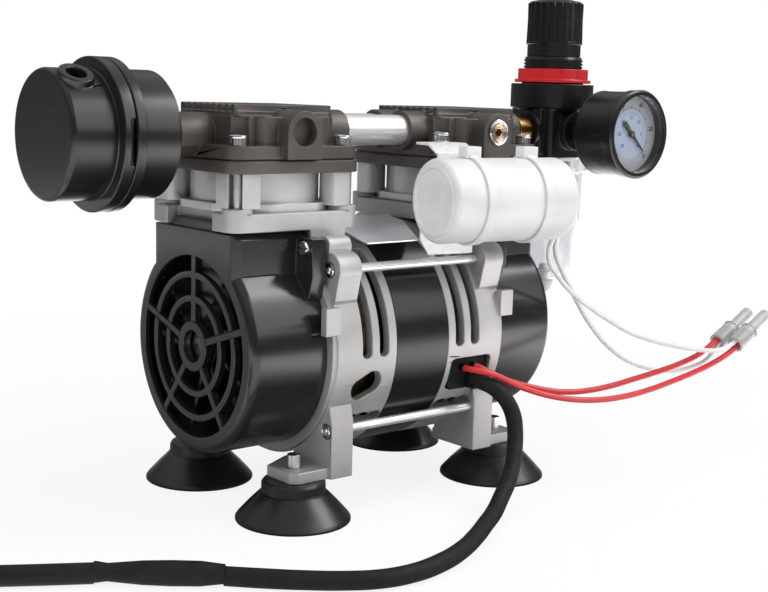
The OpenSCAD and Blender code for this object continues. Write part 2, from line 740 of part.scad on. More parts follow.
bolt_head_h = 4.4;
module head_bolt(lift) {
    bottom = deck_bottom - 0.5;
    difference() {
        union() {
            translate([0, 0, bottom]) cylinder(h = flange_top + lift - bottom + eps, r = bolt_r);
            translate([0, 0, flange_top + lift]) cylinder(h = bolt_head_h, r = bolt_head_r);
            translate([0, 0, flange_top + lift + bolt_head_h - 1.2]) cylinder(h = 1, r = bolt_head_r + 0.5);
        }
        translate([0, 0, flange_top + lift + 2]) linear_extrude(4) hex(3);
    }
}
module head_bolts() {
    color(steel) for (side = [-1, 1], a = [-1, 1], b = [-1, 1])
        translate([side * (cyl_x + a * bolt_half), b * bolt_half, 0])
            head_bolt(side > 0 && a < 0 && b < 0 ? bracket_t : 0);
}
module crossover_tubes() {
    color(steel) for (s = [-1, 1]) translate([0, s * tube_y, port_z])
        tube_x(-tube_end, 2 * tube_end, tube_r, tube_r - 1);
}
module port_plug() {
    color(steel) translate([cyl_x, -front_face - 1.4, port_z]) rotate([-90, 0, 0]) difference() {
        union() {
            cylinder(h = 9, r = port_r - fit);
            cylinder(h = 1.2, r = port_r + 0.6);
        }
        translate([0, 0, -1]) linear_extrude(6) hex(6);
    }
}

// Silencer: a fixed base with a twist-off cap, round the same axis as the head's end port
collar_x = -131;
collar_r = 31;
base_end = -107.7;
collar_t = 5.2;
neck_len = 5;
nipple_r = port_r + 0.6;
module silencer_base() {
    color(charcoal) translate([0, 0, muffler_z]) difference() {
        union() {
            rod_x(collar_x, base_end - collar_x - 1.5, muffler_r);
            rod_x(base_end - 1.5 - eps, 1.5, muffler_r - 1.5);
            rod_x(collar_x, collar_t - 0.8, collar_r);
            rod_x(base_end - eps, neck_len, end_boss_r);
        }
        rod_x(collar_x - 1, base_end - collar_x - 2, muffler_r - 2);
        rod_x(base_end - 8, 20, nipple_r + fit);
    }
}
silencer_end = collar_x - muffler_len;
inlet_x = silencer_end + 7.8;
inlet_tilt = 30;
inlet_top = muffler_r + 1.9;
slit_len = 18;
module silencer_cap() {
    color(charcoal) translate([0, 0, muffler_z]) difference() {
        union() {
            rod_x(collar_x - gap - collar_t, collar_t, collar_r);
            turned_x() union() {
                translate([silencer_end + 2, 0]) square([muffler_len - gap - 2.2, muffler_r - 0.2]);
                translate([silencer_end, 0]) square([4, muffler_r - 2.2]);
                translate([silencer_end + 2, muffler_r - 2.2]) circle(2);
            }
            rotate([inlet_tilt, 0, 0]) translate([inlet_x, 0, muffler_r - 6])
                cylinder(h = inlet_top - muffler_r + 6, r = inlet_r + 3);
        }
        rod_x(silencer_end + 2, muffler_len + 1, muffler_r - 2.4);
        rotate([inlet_tilt, 0, 0]) translate([inlet_x, 0, 0]) cylinder(h = 60, r = inlet_r);
        for (a = [-27, 93, 213]) rotate([a, 0, 0])
            translate([collar_x - gap - 2.3, -slit_len / 2, collar_r - 2.5]) cube([3, slit_len, 5]);
    }
}
module silencer_element() {
    color([0.80, 0.78, 0.72]) translate([0, 0, muffler_z])
        tube_x(silencer_end + 2.4, base_end - 3.1 - silencer_end - 2.4, 18, 11);
}
reg_half = 20;
module port_nipples() {
    thread_x = cyl_x + chamber_x + 1;
    reg_face = reg_x - reg_half;
    nipple_collar = base_end + neck_len + gap;
    color(brass) translate([0, 0, port_z]) difference() {
        union() {
            rod_x(thread_x, reg_face + 8 - thread_x, port_r - fit);
            rod_x(end_face + 2, reg_face - end_face - 4, nipple_r + 1.6);
        }
        rod_x(thread_x - 1, reg_face + 10 - thread_x, 4);
    }
    color(brass) translate([0, 0, muffler_z]) difference() {
        union() {
            rod_x(base_end - 5, -thread_x - base_end + 5, port_r - fit);
            rod_x(base_end - 6, 6, nipple_r);
            translate([nipple_collar, 0, 0]) rotate([90, 0, 90])
                linear_extrude(-end_face - gap - nipple_collar) hex(16);
        }
        rod_x(base_end - 8, 60, 4);
    }
}

// Filter regulator with its gauge and clear bowl
reg_top = port_z + 23.6;
reg_mid = port_z + 11.5;
reg_bottom = port_z - 14;
body_r = 21.4;
gauge_z = port_z;
gauge_back = gauge_front - 26;
module regulator_body() {
    color(black) difference() {
        union() {
            translate([reg_x, 0, reg_mid]) cylinder(h = reg_top - reg_mid, r = body_r);
            translate([reg_x, 0, reg_mid - 2]) cylinder(h = 2 + eps, r1 = body_r - 3, r2 = body_r);
            along_z(reg_bottom, reg_mid - reg_bottom) translate([reg_x, 0]) rounded_square(16, 15, 4);
            translate([0, 0, port_z]) rod_x(reg_x - reg_half, 2 * reg_half, 10.5);
            along_z(reg_bottom + 2, 24) translate([reg_x, 0]) rounded_square(reg_half - 1, 10.5, 2);
            translate([reg_x, 0, gauge_z]) rotate([90, 0, 0]) cylinder(h = 19, r = 10);
        }
        for (x = [reg_x - reg_half - 1, reg_x + reg_half - 12]) translate([0, 0, port_z])
            rod_x(x, 13, port_r);
        translate([reg_x, 0, port_z]) rod_x(-13, 26, 3);
        translate([reg_x, -12, gauge_z]) rotate([90, 0, 0]) cylinder(h = 10, r = 4.9);
        translate([reg_x, 0, reg_top - 16]) cylinder(h = 20, r = 12);
        translate([reg_x, 0, reg_bottom - 1]) cylinder(h = 5, r = 13.5);
        translate([reg_x, 0, reg_bottom - 1]) cylinder(h = 24, r = 3);
    }
}
module regulator_bonnet() {
    color(black) translate([reg_x, 0, 0]) difference() {
        union() {
            translate([0, 0, reg_top - 6]) cylinder(h = 6 + eps, r = 12 - fit);
            translate([0, 0, reg_top]) cylinder(h = 8, r = knob_r - 0.4);
            translate([0, 0, reg_top + 7.8]) cylinder(h = 6, r = knob_r + 0.2);
            for (k = [0 : 2]) translate([0, 0, reg_top + 8.2 + 1.7 * k])
                cylinder(h = 0.9, r = knob_r + 0.8);
            translate([0, 0, reg_top + 12]) cylinder(h = 8, r = 10.5);
        }
        translate([0, 0, reg_top - 7]) cylinder(h = 24, r = 9.5);
        translate([0, 0, reg_top]) cylinder(h = 30, r = 4 + gap);
    }
}
ring_half = knob_r - 0.4 + fit;
module lock_ring() {
    color(red) translate([reg_x, 0, reg_top]) difference() {
        union() {
            translate([0, 0, 0.7]) cylinder(h = 1.6, r = 19.7);
            translate([0, 0, 0.7]) cylinder(h = 7, r = 18);
            for (k = [0 : 11]) rotate([0, 0, 30 * k]) translate([17.3, -1.2, 1.5]) cube([1.1, 2.4, 6.2]);
        }
        cylinder(h = 10, r = ring_half);
    }
    color(black) translate([reg_x, 0, reg_top + fit]) difference() {
        cylinder(h = 0.6, r = 16);
        translate([0, 0, -1]) cylinder(h = 3, r = ring_half);
    }
}
spring_r = 7.6;
spring_wire = 0.9;
spring_turns = 6;
spring_z = reg_top - 15;
spring_h = 17;
module regulator_spring() {
    steps = spring_turns * 8;
    path = [for (i = [0 : steps]) let (a = 45 * i) [spring_r * cos(a), spring_r * sin(a),
        spring_h * i / steps]];
    color(steel) translate([reg_x, 0, spring_z]) {
        sweep(path, spring_wire, 6, [0, 0, 1]);
    }
}
knob_z0 = reg_top + 14.1;
knob_split = knob_z0 + 6.2;
knob_top = knob_z0 + 28;
flutes = 24;
knob_dome = 1.6;
module regulator_knob() {
    color(black) translate([reg_x, 0, 0]) difference() {
        union() {
            translate([0, 0, knob_z0]) cylinder(h = 6.2 + eps, r = knob_r - 0.6);
            translate([0, 0, knob_split]) cylinder(h = knob_top - knob_split - 1, r1 = knob_r + 0.1,
                r2 = knob_r - 0.4);
            translate([0, 0, knob_top - 1 - eps]) cylinder(h = 1, r1 = knob_r - 0.4, r2 = knob_r - 1.6);
            translate([0, 0, knob_top - 2 * eps]) cylinder(h = knob_dome, r1 = knob_r - 1.6, r2 = 5);
        }
        for (k = [0 : flutes - 1]) rotate([0, 0, 360 / flutes * k])
            translate([knob_r + 0.35, 0, knob_split + 1.4])
            cylinder(h = 40, r = 0.95, $fn = 16);
        translate([0, 0, knob_z0 - 1]) cylinder(h = 12, r = 10.5 + gap);
        translate([0, 0, knob_z0]) linear_extrude(knob_top - knob_z0 - 3) hex(7 + 0.3);
    }
}
module adjusting_screw() {
    color(steel) translate([reg_x, 0, 0]) {
        translate([0, 0, reg_top + 3]) cylinder(h = 15, r = 4);
        translate([0, 0, reg_top + 18 - eps]) linear_extrude(knob_top - 3.3 - knob_lift - reg_top - 18)
            hex(7);
        translate([0, 0, spring_z + spring_h + spring_wire + 0.1]) cylinder(h = 1.4, r = 9);
    }
}
bowl_r = 15;
bowl_low = port_z - 77;
module bowl_profile(inset) {
    low = bowl_low + inset;
    r = bowl_r - inset;
    round_r = 7 - inset / 2;
    union() {
        translate([0, low + round_r]) square([r - 0.6, 20]);
        polygon([[0, low + 20], [r - 0.6, low + 20], [r, reg_bottom - 4], [0, reg_bottom - 4]]);
        translate([0, low]) square([r - 0.6 - round_r, round_r + eps]);
        translate([r - 0.6 - round_r, low + round_r]) circle(round_r);
    }
}
module bowl() {
    color(clear) translate([reg_x, 0, 0]) difference() {
        union() {
            rotate_extrude($fn = 72) intersection() {
                bowl_profile(0);
                translate([0, bowl_low - 1]) square([40, 100]);
            }
            translate([0, 0, reg_bottom - 7.5]) cylinder(h = 7.4, r = 17.2);
            translate([0, 0, reg_bottom - 0.2]) cylinder(h = 3, r = 13.5 - fit);
            for (k = [0 : 11]) rotate([0, 0, 30 * k + 15]) translate([16.6, -0.8, reg_bottom - 7.5])
                cube([1.6, 1.6, 7.4]);
        }
        rotate_extrude($fn = 72) intersection() {
            bowl_profile(1.6);
            translate([0, bowl_low - 1]) square([40, 100]);
        }
        translate([0, 0, reg_bottom - 12]) cylinder(h = 20, r = 12);
        translate([0, 0, bowl_low - 2]) cylinder(h = 8, r = 2.9);
    }
}
module bowl_filter() {
    color(white) translate([reg_x, 0, 0]) difference() {
        union() {
            translate([0, 0, reg_bottom - 30]) cylinder(h = 27, r = 7);
            translate([0, 0, reg_bottom - 5]) cylinder(h = 2.4, r = 11);
            translate([0, 0, reg_bottom - 32]) cylinder(h = 2.1, r = 8.5);
            for (k = [0 : 5]) translate([0, 0, reg_bottom - 27 + 3.6 * k]) cylinder(h = 1.2, r = 7.8);
            translate([0, 0, reg_bottom - 3]) cylinder(h = 6.6, r = 6);
        }
        translate([0, 0, reg_bottom - 29]) cylinder(h = 40, r = 3);
    }
}
drain_lift = 2.5;
module drain_valve() {
    color(white) translate([reg_x, 0, 0]) {
        translate([0, 0, bowl_low - 5]) cylinder(h = 11, r = 2.6);
        translate([0, 0, bowl_low + 1.9]) cylinder(h = 1.2, r = 4.4);
        translate([0, 0, bowl_low - 2 - drain_lift]) cylinder(h = 1.8, r = 5.3);
        translate([0, 0, bowl_low - 7.4]) cylinder(h = 3.2, r1 = 4.2, r2 = 5.3);
        translate([0, 0, bowl_low - 8.5]) cylinder(h = 6, r = 3);
    }
}
dial_y = -gauge_front + 6;
module gauge_case() {
    color(black) translate([reg_x, 0, gauge_z]) rotate([90, 0, 0]) difference() {
        union() {
            translate([0, 0, gauge_back]) cylinder(h = 2.01, r1 = gauge_r - 2.4, r2 = gauge_r - 0.8);
            translate([0, 0, gauge_back + 2]) cylinder(h = 24, r = gauge_r - 0.8);
            translate([0, 0, gauge_front - 6]) cylinder(h = 5, r = gauge_r);
            translate([0, 0, gauge_front - 1.01]) cylinder(h = 1, r1 = gauge_r, r2 = gauge_r - 1);
        }
        translate([0, 0, -dial_y - 0.6]) cylinder(h = 20, r = gauge_r - 2.6);
        translate([0, 0, gauge_back + 2]) cylinder(h = -dial_y - gauge_back - 2, r = gauge_r - 5);
        translate([0, 0, gauge_back - 1]) cylinder(h = 4, r = 4.5);
    }
    color(brass) translate([reg_x, 0, gauge_z]) rotate([90, 0, 0]) {
        translate([0, 0, 13]) cylinder(h = 9, r = 4.8);
        translate([-5, -5, 19.2]) cube([10, 10, gauge_back - 19.2 + eps]);
        translate([0, 0, gauge_back - eps]) cylinder(h = 8, r = 4.5);
    }
}
module gauge_dial() {
    color([0.80, 0.85, 0.90]) translate([reg_x, 0, gauge_z]) rotate([90, 0, 0]) difference() {
        translate([0, 0, -dial_y - 0.6]) cylinder(h = 0.6, r = gauge_r - 2.6 - fit);
        translate([0, 0, -dial_y - 2]) cylinder(h = 4, r = 0.8);
    }
}
module gauge_lens() {
    color(clear) translate([reg_x, 0, gauge_z]) rotate([90, 0, 0])
        translate([0, 0, gauge_front - 2.4]) cylinder(h = 1.2, r = gauge_r - 2.6 - fit);
}
// Direction of the pointer at rest, in degrees from +X towards +Z seen from the front
pointer_rest = -43;
module gauge_pointer() {
    color(black) translate([reg_x, 0, gauge_z]) rotate([90, 0, 0]) {
        translate([0, 0, -dial_y + 0.8]) rotate([0, 0, pointer_rest]) linear_extrude(0.5)
            polygon([[-8, -1.3], [-8, 1.3], [0, 0.9], [12.5, 0.25], [12.5, -0.25], [0, -0.9]]);
        translate([0, 0, -dial_y - 3]) cylinder(h = 3.8, r = 0.72);
        translate([0, 0, -dial_y + 0.3]) cylinder(h = 1.4, r = 1.7);
    }
}

// Capacitor on its sheet bracket, held by two cable ties
cap_x0 = 1;
cap_y = -64.7;
cap_z = flange_top - 22.5;
cap_round = 2.5;
tie_xs = [cap_x0 + 18, cap_x0 + 49];
bracket_bolt = [cyl_x - bolt_half, -bolt_half, 0];
// The capacitor, its ties and the bracket are drawn square to the pump and turned about the bolt
module on_bracket() translate(bracket_bolt) rotate([0, 0, -bracket_turn]) translate(-bracket_bolt)
    children();
module capacitor() {
    flat_r = cap_r - cap_round;
    color(white) on_bracket() translate([cap_x0, cap_y, cap_z]) {
        turned_x() union() {
            translate([cap_round, 0]) square([cap_len - 2 * cap_round, cap_r]);
            translate([0, 0]) square([cap_len, flat_r]);
            translate([cap_round, flat_r]) circle(cap_round);
            translate([cap_len - cap_round, flat_r]) circle(cap_round);
        }
        tube_x(-0.6, 1, flat_r - 0.6, flat_r - 2);
        tube_x(cap_len - 0.4, 1, flat_r - 0.6, flat_r - 2);
    }
}
back_y = cap_y + cap_r + gap / 3;
bracket_top = flange_top - 4;
bracket_low = shaft_h + 39;
tab_out = [15, 36];
module capacitor_bracket() {
    color([0.80, 0.81, 0.82]) on_bracket() difference() {
        union() {
            along_y(back_y, bracket_t) polygon([[11.5, bracket_low], [7, bracket_low + 7], [7,
                bracket_low + 13],
                [tab_out[0], bracket_low + 19], [tab_out[0], bracket_top + 1.2], [tab_out[1],
                    bracket_top + 1.2],
                [tab_out[1], bracket_top - 6], [tie_xs[1] + 6, bracket_top - 6], [tie_xs[1] + 6,
                    deck_bottom],
                [plate_in - 0.5, deck_bottom], [plate_in - 0.5, bracket_low]]);
            along_x(tab_out[0], tab_out[1] - tab_out[0])
                polygon([[back_y, bracket_top], [back_y + bracket_t, bracket_top],
                [-37.2, flange_top], [-27.6, flange_top], [-27.6, flange_top + bracket_t], [-37.6,
                    flange_top + bracket_t]]);
            translate(bracket_bolt + [0, 0, flange_top])
                cylinder(h = bracket_t, r = bolt_pocket_r - 0.2);
        }
        translate(bracket_bolt + [0, 0, flange_top - 2]) cylinder(h = 6, r = bolt_r + 0.2);
        for (x = tie_xs) translate([x - tie_w / 2 - 0.3, back_y - 1, cap_z - 9]) cube([tie_w + 0.6, 4, 18]);
    }
}
tie_w = 4.6;
tie_t = 1.1;
module capacitor_tie(x) {
    translate([x - tie_w / 2, cap_y, cap_z]) {
        tube_x(0, tie_w, cap_r + tie_t + 0.1, cap_r + 0.1);
        translate([-1.5, -3.25, cap_r - 1]) cube([tie_w + 3, 6.5, 6]);
    }
}
module capacitor_ties() {
    color(white) on_bracket() difference() {
        for (x = tie_xs) capacitor_tie(x);
        translate([cap_x0, cap_y, cap_z]) rod_x(-1, cap_len + 2, cap_r + 0.1);
    }
}
// Lead grommet in the right frame, with the leads leaving towards the right
grommet_y = -51.5;
module lead_grommet() {
    cx = lead_window_x;
    cz = shaft_h - lead_window_z;
    color(rubber) difference() {
        union() {
            along_y(grommet_y + 3, 4.5) translate([cx, cz])
                rounded_square(lead_window_half[0] - fit, lead_window_half[1] - fit, 2.4);
            translate(lead_route[0]) rotate([90, 0, 0]) translate([0, 0, -4])
                cylinder(h = 5, r = lead_d / 2 + 1);
        }
        translate(lead_route[0]) rotate([90, 0, 0]) translate([0, 0, -14])
            cylinder(h = 20, r = lead_d / 2 - 0.05);
        for (p = [red_a[0], red_b[0]]) translate(p) rotate([90, 0, 0]) translate([0, 0, -14])
            cylinder(h = 20, r = red_d / 2 + 0.1);
    }
}

// Routes of the free cords, in the part's frame
lead_route = [[33.5, -50.5, 52.5], [34, -54.5, 52], [36, -58.5, 50.5], [39, -62, 47.5], [41.5, -65, 43],
    [42.5, -68, 37], [41, -71, 30.5], [37.5, -74.5, 24.5], [32.5, -78.5, 18.5], [25.5, -83, 13], [17, -87.5,
        8.5],
    [7.5, -93, 5], [-5, -100.5, 4], [-20, -110, 4], [-36, -118.5, 4], [-52, -124, 4], [-68, -126, 4],
    [-82, -123.5, 4], [-94, -117, 4], [-105, -108.5, 4], [-116, -98.5, 4], [-127, -87.5, 4]];
white_a = [[62.2, -66.3, 126], [64.6, -66.5, 125.4], [66.4, -66.3, 123], [66.4, -65.7, 119],
    [64.9, -64.6, 113.8], [66, -63.6, 107.8], [71.8, -63, 101.2], [82.3, -63.6, 91.5], [93.9, -64.9, 83.7],
    [105, -67.6, 76.9], [115, -73, 70.5], [124, -80.5, 66.5], [133, -88, 64], [141.5, -95, 62.5],
    [150, -100.5, 62.2], [158.9, -102, 64.6], [166, -102, 68.3]];
white_b = [[62.9, -62.8, 131.5], [68, -62.6, 130.5], [73, -61.2, 126], [74.9, -60, 118.5],
    [75.2, -59, 111], [79.9, -58.3, 102.9], [88, -57.4, 93], [97.1, -56, 82.7], [106, -55.6, 72.9],
    [115, -58.5, 62.5], [123.5, -64.5, 54.5], [133, -71, 50], [142.5, -78, 48.5], [151.5, -85, 51],
    [157, -90, 55.5], [160, -92, 61.2], [167.1, -92, 64.9]];
red_a = [[33.5, -50.5, 58.8], [34.5, -53, 58.2], [38, -54.8, 56.2], [44.5, -56.3, 53], [52, -58.5, 50], [60,
    -61, 47.5],
    [70, -64.5, 45], [81, -68, 43.7], [92, -71.5, 44], [103, -75, 45.5], [115, -78.5, 48], [127, -83, 51],
    [138, -87, 54.3], [149, -91, 59], [158.5, -92, 64], [165.6, -92, 67.8]];
red_b = [[27, -50.5, 58.4], [27.5, -55, 58.4], [30.5, -58.5, 57.8], [37, -61, 55.8], [46.5, -64.5, 50.8],
    [55, -67.5, 47.3],
    [65, -71, 44.2], [76, -74.5, 42], [88, -78.5, 41], [101, -83, 41.7], [115, -87.5, 44.2], [128, -92, 48],
    [140, -96.5, 52.3], [151, -100.5, 57.2], [160.5, -102, 61.7], [167.5, -102, 65.5]];
cap_body = 13;
cap_tip = 15;
cap_tilt = 61.8;
cap_place_a = [161, -92, 63.6];
cap_place_b = [161.5, -102, 64];

module power_lead() color(rubber) sweep(lead_route, lead_d / 2, 10, [0.6, 0.8, 0]);
module white_wires() {
    color(white) {
        sweep(white_a, white_d / 2, 8, [0, 1, 0.2]);
        sweep(white_b, white_d / 2, 8, [0, 1, 0.2]);
    }
}
module red_wires() {
    color(red) {
        sweep(red_a, red_d / 2, 8, [0.1, 0.3, 1]);
        sweep(red_b, red_d / 2, 8, [0.1, 0.3, 1]);
    }
}
module crimp_cap(place) {
    translate(place) rotate([0, cap_tilt, 0]) difference() {
        union() {
            cylinder(h = cap_body, r1 = 4.3, r2 = 4);
            translate([0, 0, cap_body - eps]) cylinder(h = 2, r1 = 4, r2 = 2.8);
            translate([0, 0, cap_body + 2 - 2 * eps]) cylinder(h = cap_tip - 2, r = 2.8);
        }
        translate([0, 0, -1]) cylinder(h = cap_body - 1, r = 3);
    }
}
module crimp_caps() {
    color(clear) {
        crimp_cap(cap_place_a);
        crimp_cap(cap_place_b);
    }
}

// Heat-shrink joint on the lead, turned about the lead's own line on the floor
joint_start = lead_route[len(lead_route) - 1];
joint_end = [-165, -57.5, 4.3];
joint_len = norm(joint_end - joint_start);
joint_turn = atan2(joint_end[1] - joint_start[1], joint_end[0] - joint_start[0]);
joint_r = 4.8;
module lead_joint() {
    color(rubber) translate([joint_start[0], joint_start[1], joint_r]) rotate([0, 0, joint_turn])
        rotate([0, 90, 0])
        rotate_extrude() polygon([[0, 0], [lead_d / 2, 0], [lead_d / 2 + 0.2, 2], [joint_r - 0.1, 9],
            [joint_r, 20],
            [joint_r - 0.3, joint_len - 18], [lead_d / 2 - 0.3, joint_len - 5], [sheath_d / 2,
                joint_len - 1],
            [sheath_d / 2, joint_len], [0, joint_len]]);
}

// The length that is put away: a straight run, then two layers of turns, wound in and out again
sheath_d = 8;
tail_route = [joint_end, [-182, -47.5, 4.3], [-200, -36.5, 4.3], [-218, -25, 4.3], [-231.5, -16.4, 4.3]];
coil_start = atan2(11.5, -18) - 90;
coil_r = 46;
coil_turns = 1.75;
coil_pitch = 9.8;
coil_steps = 24;
layer_z = [4.3, 3 * sheath_d / 2 + 1.6];
coil_spread = coil_turns * coil_pitch / 2;
coil_first = [-241.6, -9.9];
coil_centre = coil_first - (coil_r + coil_spread) * [cos(coil_start), sin(coil_start)];
function coil_point(t) =
    let (lower = min(t, coil_turns), climb = min(max(0, t - coil_turns), 0.5), upper = max(0,
        t - coil_turns - 0.5),
        r = coil_r + coil_spread - lower * coil_pitch + upper * coil_pitch,
        rise = (1 - cos(360 * climb)) / 2,
        a = coil_start + 360 * t)
    [coil_centre[0] + r * cos(a), coil_centre[1] + r * sin(a),
        layer_z[0] + rise * (layer_z[1] - layer_z[0])];
coil_total = 2 * coil_turns + 0.5;
coil_turned = [for (i = [0 : coil_total * coil_steps]) coil_point(i / coil_steps)];
coil_end = coil_turned[len(coil_turned) - 1];
run_out = [cos(coil_start + 90), sin(coil_start + 90)];
plug_run = 38;
plug_z = 15;
plug_place = [coil_end[0] + plug_run * run_out[0], coil_end[1] + plug_run * run_out[1], plug_z];
coil_path = concat(tail_route, coil_turned, [(coil_end + plug_place) / 2 + [0, 0, 0.3], plug_place]);
module lead_coil() color(rubber) sweep(coil_path, sheath_d / 2, 6, [0, 0, 1]);

// Moulded plug with two round pins, past the end of the coil
module plug() {
    translate(plug_place) rotate([0, 0, coil_start + 90]) {
        color(rubber) rotate([0, 90, 0]) {
            cylinder(h = 14, r1 = 6, r2 = 14.6);
            translate([0, 0, 14 - eps]) cylinder(h = 20, r = 14.6);
        }
        color(steel) for (s = [-1, 1]) translate([34 - eps, s * 9.5, 0]) rod_x(0, 19, 2.4);
    }
}

// Feet and the bare plate between the cylinders
cup_lip = 3;
module suction_feet() {
    color(rubber) at_feet() difference() {
        rotate_extrude($fn = 72) polygon([[0, 0.8 * cup_lip], [9, 3.4], [cup_r - 2, 0], [cup_r, 0], [cup_r,
            1],
            [cup_r - 0.8, cup_lip], [14.6, 9.6], [14, 10.4], [14, foot_h - 1.5], [13, foot_h - fit / 2], [0,
                foot_h - fit / 2]]);
        translate([0, 0, 7]) cylinder(h = 20, r = 3 + fit);
    }
}
module foot_studs() {
    color(steel) at_feet() translate([0, 0, 7.2]) {
        cylinder(h = foot_h + foot_t + 6 - 7.2, r = 3);
    }
}
plate_slope = 11.1;
module rating_plate() {
    color([0.72, 0.75, 0.79]) translate([0, 0, shaft_h]) rotate([plate_slope, 0, 0])
        translate([0, 0, barrel_r + fit]) {
        linear_extrude(0.8) polygon([[-24, -30.6], [5.5, -30.6], [19, -4], [19, 9], [-21.5, 9], [-21.5, -4],
            [-24, -6]]);
    }
}

left_frame();
right_frame();
stator_core();
stator_windings();
main_bearings();
tie_rods();
left_fan_cover();
right_fan_cover();
cover_screws();
cylinders();
valve_plates();
left_head();
right_head();
reed_valves();
seals();
head_bolts();
crossover_tubes();
port_plug();
silencer_base();
silencer_cap();
silencer_element();
port_nipples();
regulator_body();
regulator_bonnet();
lock_ring();
regulator_spring();
regulator_knob();
adjusting_screw();
bowl();
bowl_filter();
drain_valve();
gauge_case();
gauge_dial();
gauge_lens();
gauge_pointer();
capacitor_bracket();
capacitor();
capacitor_ties();
lead_grommet();
white_wires();
red_wires();
crimp_caps();
power_lead();
lead_joint();
lead_coil();
plug();
suction_feet();
foot_studs();
rating_plate();
motor_shaft();
rotor_core();
fans();
eccentrics();
left_piston_rod();
right_piston_rod();
left_piston_cup();
right_piston_cup();
left_crank_bearing();
right_crank_bearing();
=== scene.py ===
import json
import math
from functools import cache

import bmesh
import bpy
from mathutils import Matrix, Vector

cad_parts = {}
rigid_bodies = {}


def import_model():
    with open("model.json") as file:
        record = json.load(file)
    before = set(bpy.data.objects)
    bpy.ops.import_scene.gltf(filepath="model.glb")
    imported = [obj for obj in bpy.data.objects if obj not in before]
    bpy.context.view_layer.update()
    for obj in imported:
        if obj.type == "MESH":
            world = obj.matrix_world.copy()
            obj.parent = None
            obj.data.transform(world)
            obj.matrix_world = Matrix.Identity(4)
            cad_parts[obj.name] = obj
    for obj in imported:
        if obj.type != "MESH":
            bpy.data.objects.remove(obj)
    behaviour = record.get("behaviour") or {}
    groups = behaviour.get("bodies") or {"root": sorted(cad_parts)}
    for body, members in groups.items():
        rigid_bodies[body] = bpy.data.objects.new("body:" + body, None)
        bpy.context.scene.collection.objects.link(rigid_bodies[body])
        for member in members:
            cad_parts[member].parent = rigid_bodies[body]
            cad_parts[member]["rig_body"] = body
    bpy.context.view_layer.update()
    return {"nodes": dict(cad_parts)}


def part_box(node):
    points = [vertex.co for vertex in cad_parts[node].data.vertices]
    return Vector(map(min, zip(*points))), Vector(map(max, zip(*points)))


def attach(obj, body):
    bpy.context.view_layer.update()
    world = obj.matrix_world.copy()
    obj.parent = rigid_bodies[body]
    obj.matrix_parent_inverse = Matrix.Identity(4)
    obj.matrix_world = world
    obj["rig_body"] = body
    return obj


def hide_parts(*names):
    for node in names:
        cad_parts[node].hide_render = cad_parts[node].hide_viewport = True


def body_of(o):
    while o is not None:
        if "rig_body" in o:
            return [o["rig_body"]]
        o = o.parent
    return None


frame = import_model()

bl_info = {
    "name": "Oil-free piston pump",
    "version": (1, 0, 0),
    "blender": (4, 5, 0),
    "location": "View3D > Sidebar > Pump",
    "description": "Builds a twin-cylinder piston vacuum pump around its packed frame",
    "category": "Object",
}

# Places that several pieces share, in metres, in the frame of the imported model
MM = 0.001
SIDES = (-1, 1)
UP = (0.0, 0.0, 1.0)
SHAFT_Z = 0.072
PORT_Z = 0.1654
DRUM_RADIUS = 0.047
REGULATOR_X = 0.131
DIAL_Y = -0.054
DIAL_CENTRE = (REGULATOR_X, DIAL_Y, PORT_Z)
CYLINDER_X = 0.056
BOLT_OUT = 0.027
HEAD_BOLTS = [(side * (CYLINDER_X + a * BOLT_OUT), b * BOLT_OUT) for side in SIDES for a in SIDES for b in SIDES]
HEAD_FLANGE_TOP = 0.1595
BRACKET_BOLT = (CYLINDER_X - BOLT_OUT, -BOLT_OUT)
BRACKET_THICKNESS = 0.0012
TIE_HEAD_X = -0.0472
TIE_Y = 0.0446
TIE_HEIGHTS = (0.038, 0.108)
FEET = [(a * 0.0597, b * 0.0377) for a in SIDES for b in SIDES]
STUD_THREAD_Z = 0.0229

# Routes of the cords, from the frame's own
LEAD_ROUTE = [
    (0.0335, -0.0505, 0.0525), (0.034, -0.0545, 0.052), (0.036, -0.0585, 0.0505), (0.039, -0.062, 0.0475),
    (0.0415, -0.065, 0.043), (0.0425, -0.068, 0.037), (0.041, -0.071, 0.0305), (0.0375, -0.0745, 0.0245),
    (0.0325, -0.0785, 0.0185), (0.0255, -0.083, 0.013), (0.017, -0.0875, 0.0085), (0.0075, -0.093, 0.005),
    (-0.005, -0.1005, 0.004), (-0.02, -0.11, 0.004), (-0.036, -0.1185, 0.004), (-0.052, -0.124, 0.004),
    (-0.068, -0.126, 0.004), (-0.082, -0.1235, 0.004), (-0.094, -0.117, 0.004), (-0.105, -0.1085, 0.004),
    (-0.116, -0.0985, 0.004), (-0.127, -0.0875, 0.004)]
JOINT_END = (-0.165, -0.0575, 0.0043)
TAIL_ROUTE = [JOINT_END, (-0.182, -0.0475, 0.0043), (-0.2, -0.0365, 0.0043), (-0.218, -0.025, 0.0043),
              (-0.2315, -0.0164, 0.0043)]
COIL_FIRST = (-0.2416, -0.0099)
COIL_START = math.atan2(11.5, -18) - math.pi / 2
WHITE_A = [
    (0.0622, -0.0663, 0.126), (0.0646, -0.0665, 0.1254), (0.0664, -0.0663, 0.123), (0.0664, -0.0657, 0.119),
    (0.0649, -0.0646, 0.1138), (0.066, -0.0636, 0.1078), (0.0718, -0.063, 0.1012), (0.0823, -0.0636, 0.0915),
    (0.0939, -0.0649, 0.0837), (0.105, -0.0676, 0.0769), (0.115, -0.073, 0.0705), (0.124, -0.0805, 0.0665),
    (0.133, -0.088, 0.064), (0.1415, -0.095, 0.0625), (0.15, -0.1005, 0.0622), (0.1589, -0.102, 0.0646),
    (0.166, -0.102, 0.0683)]
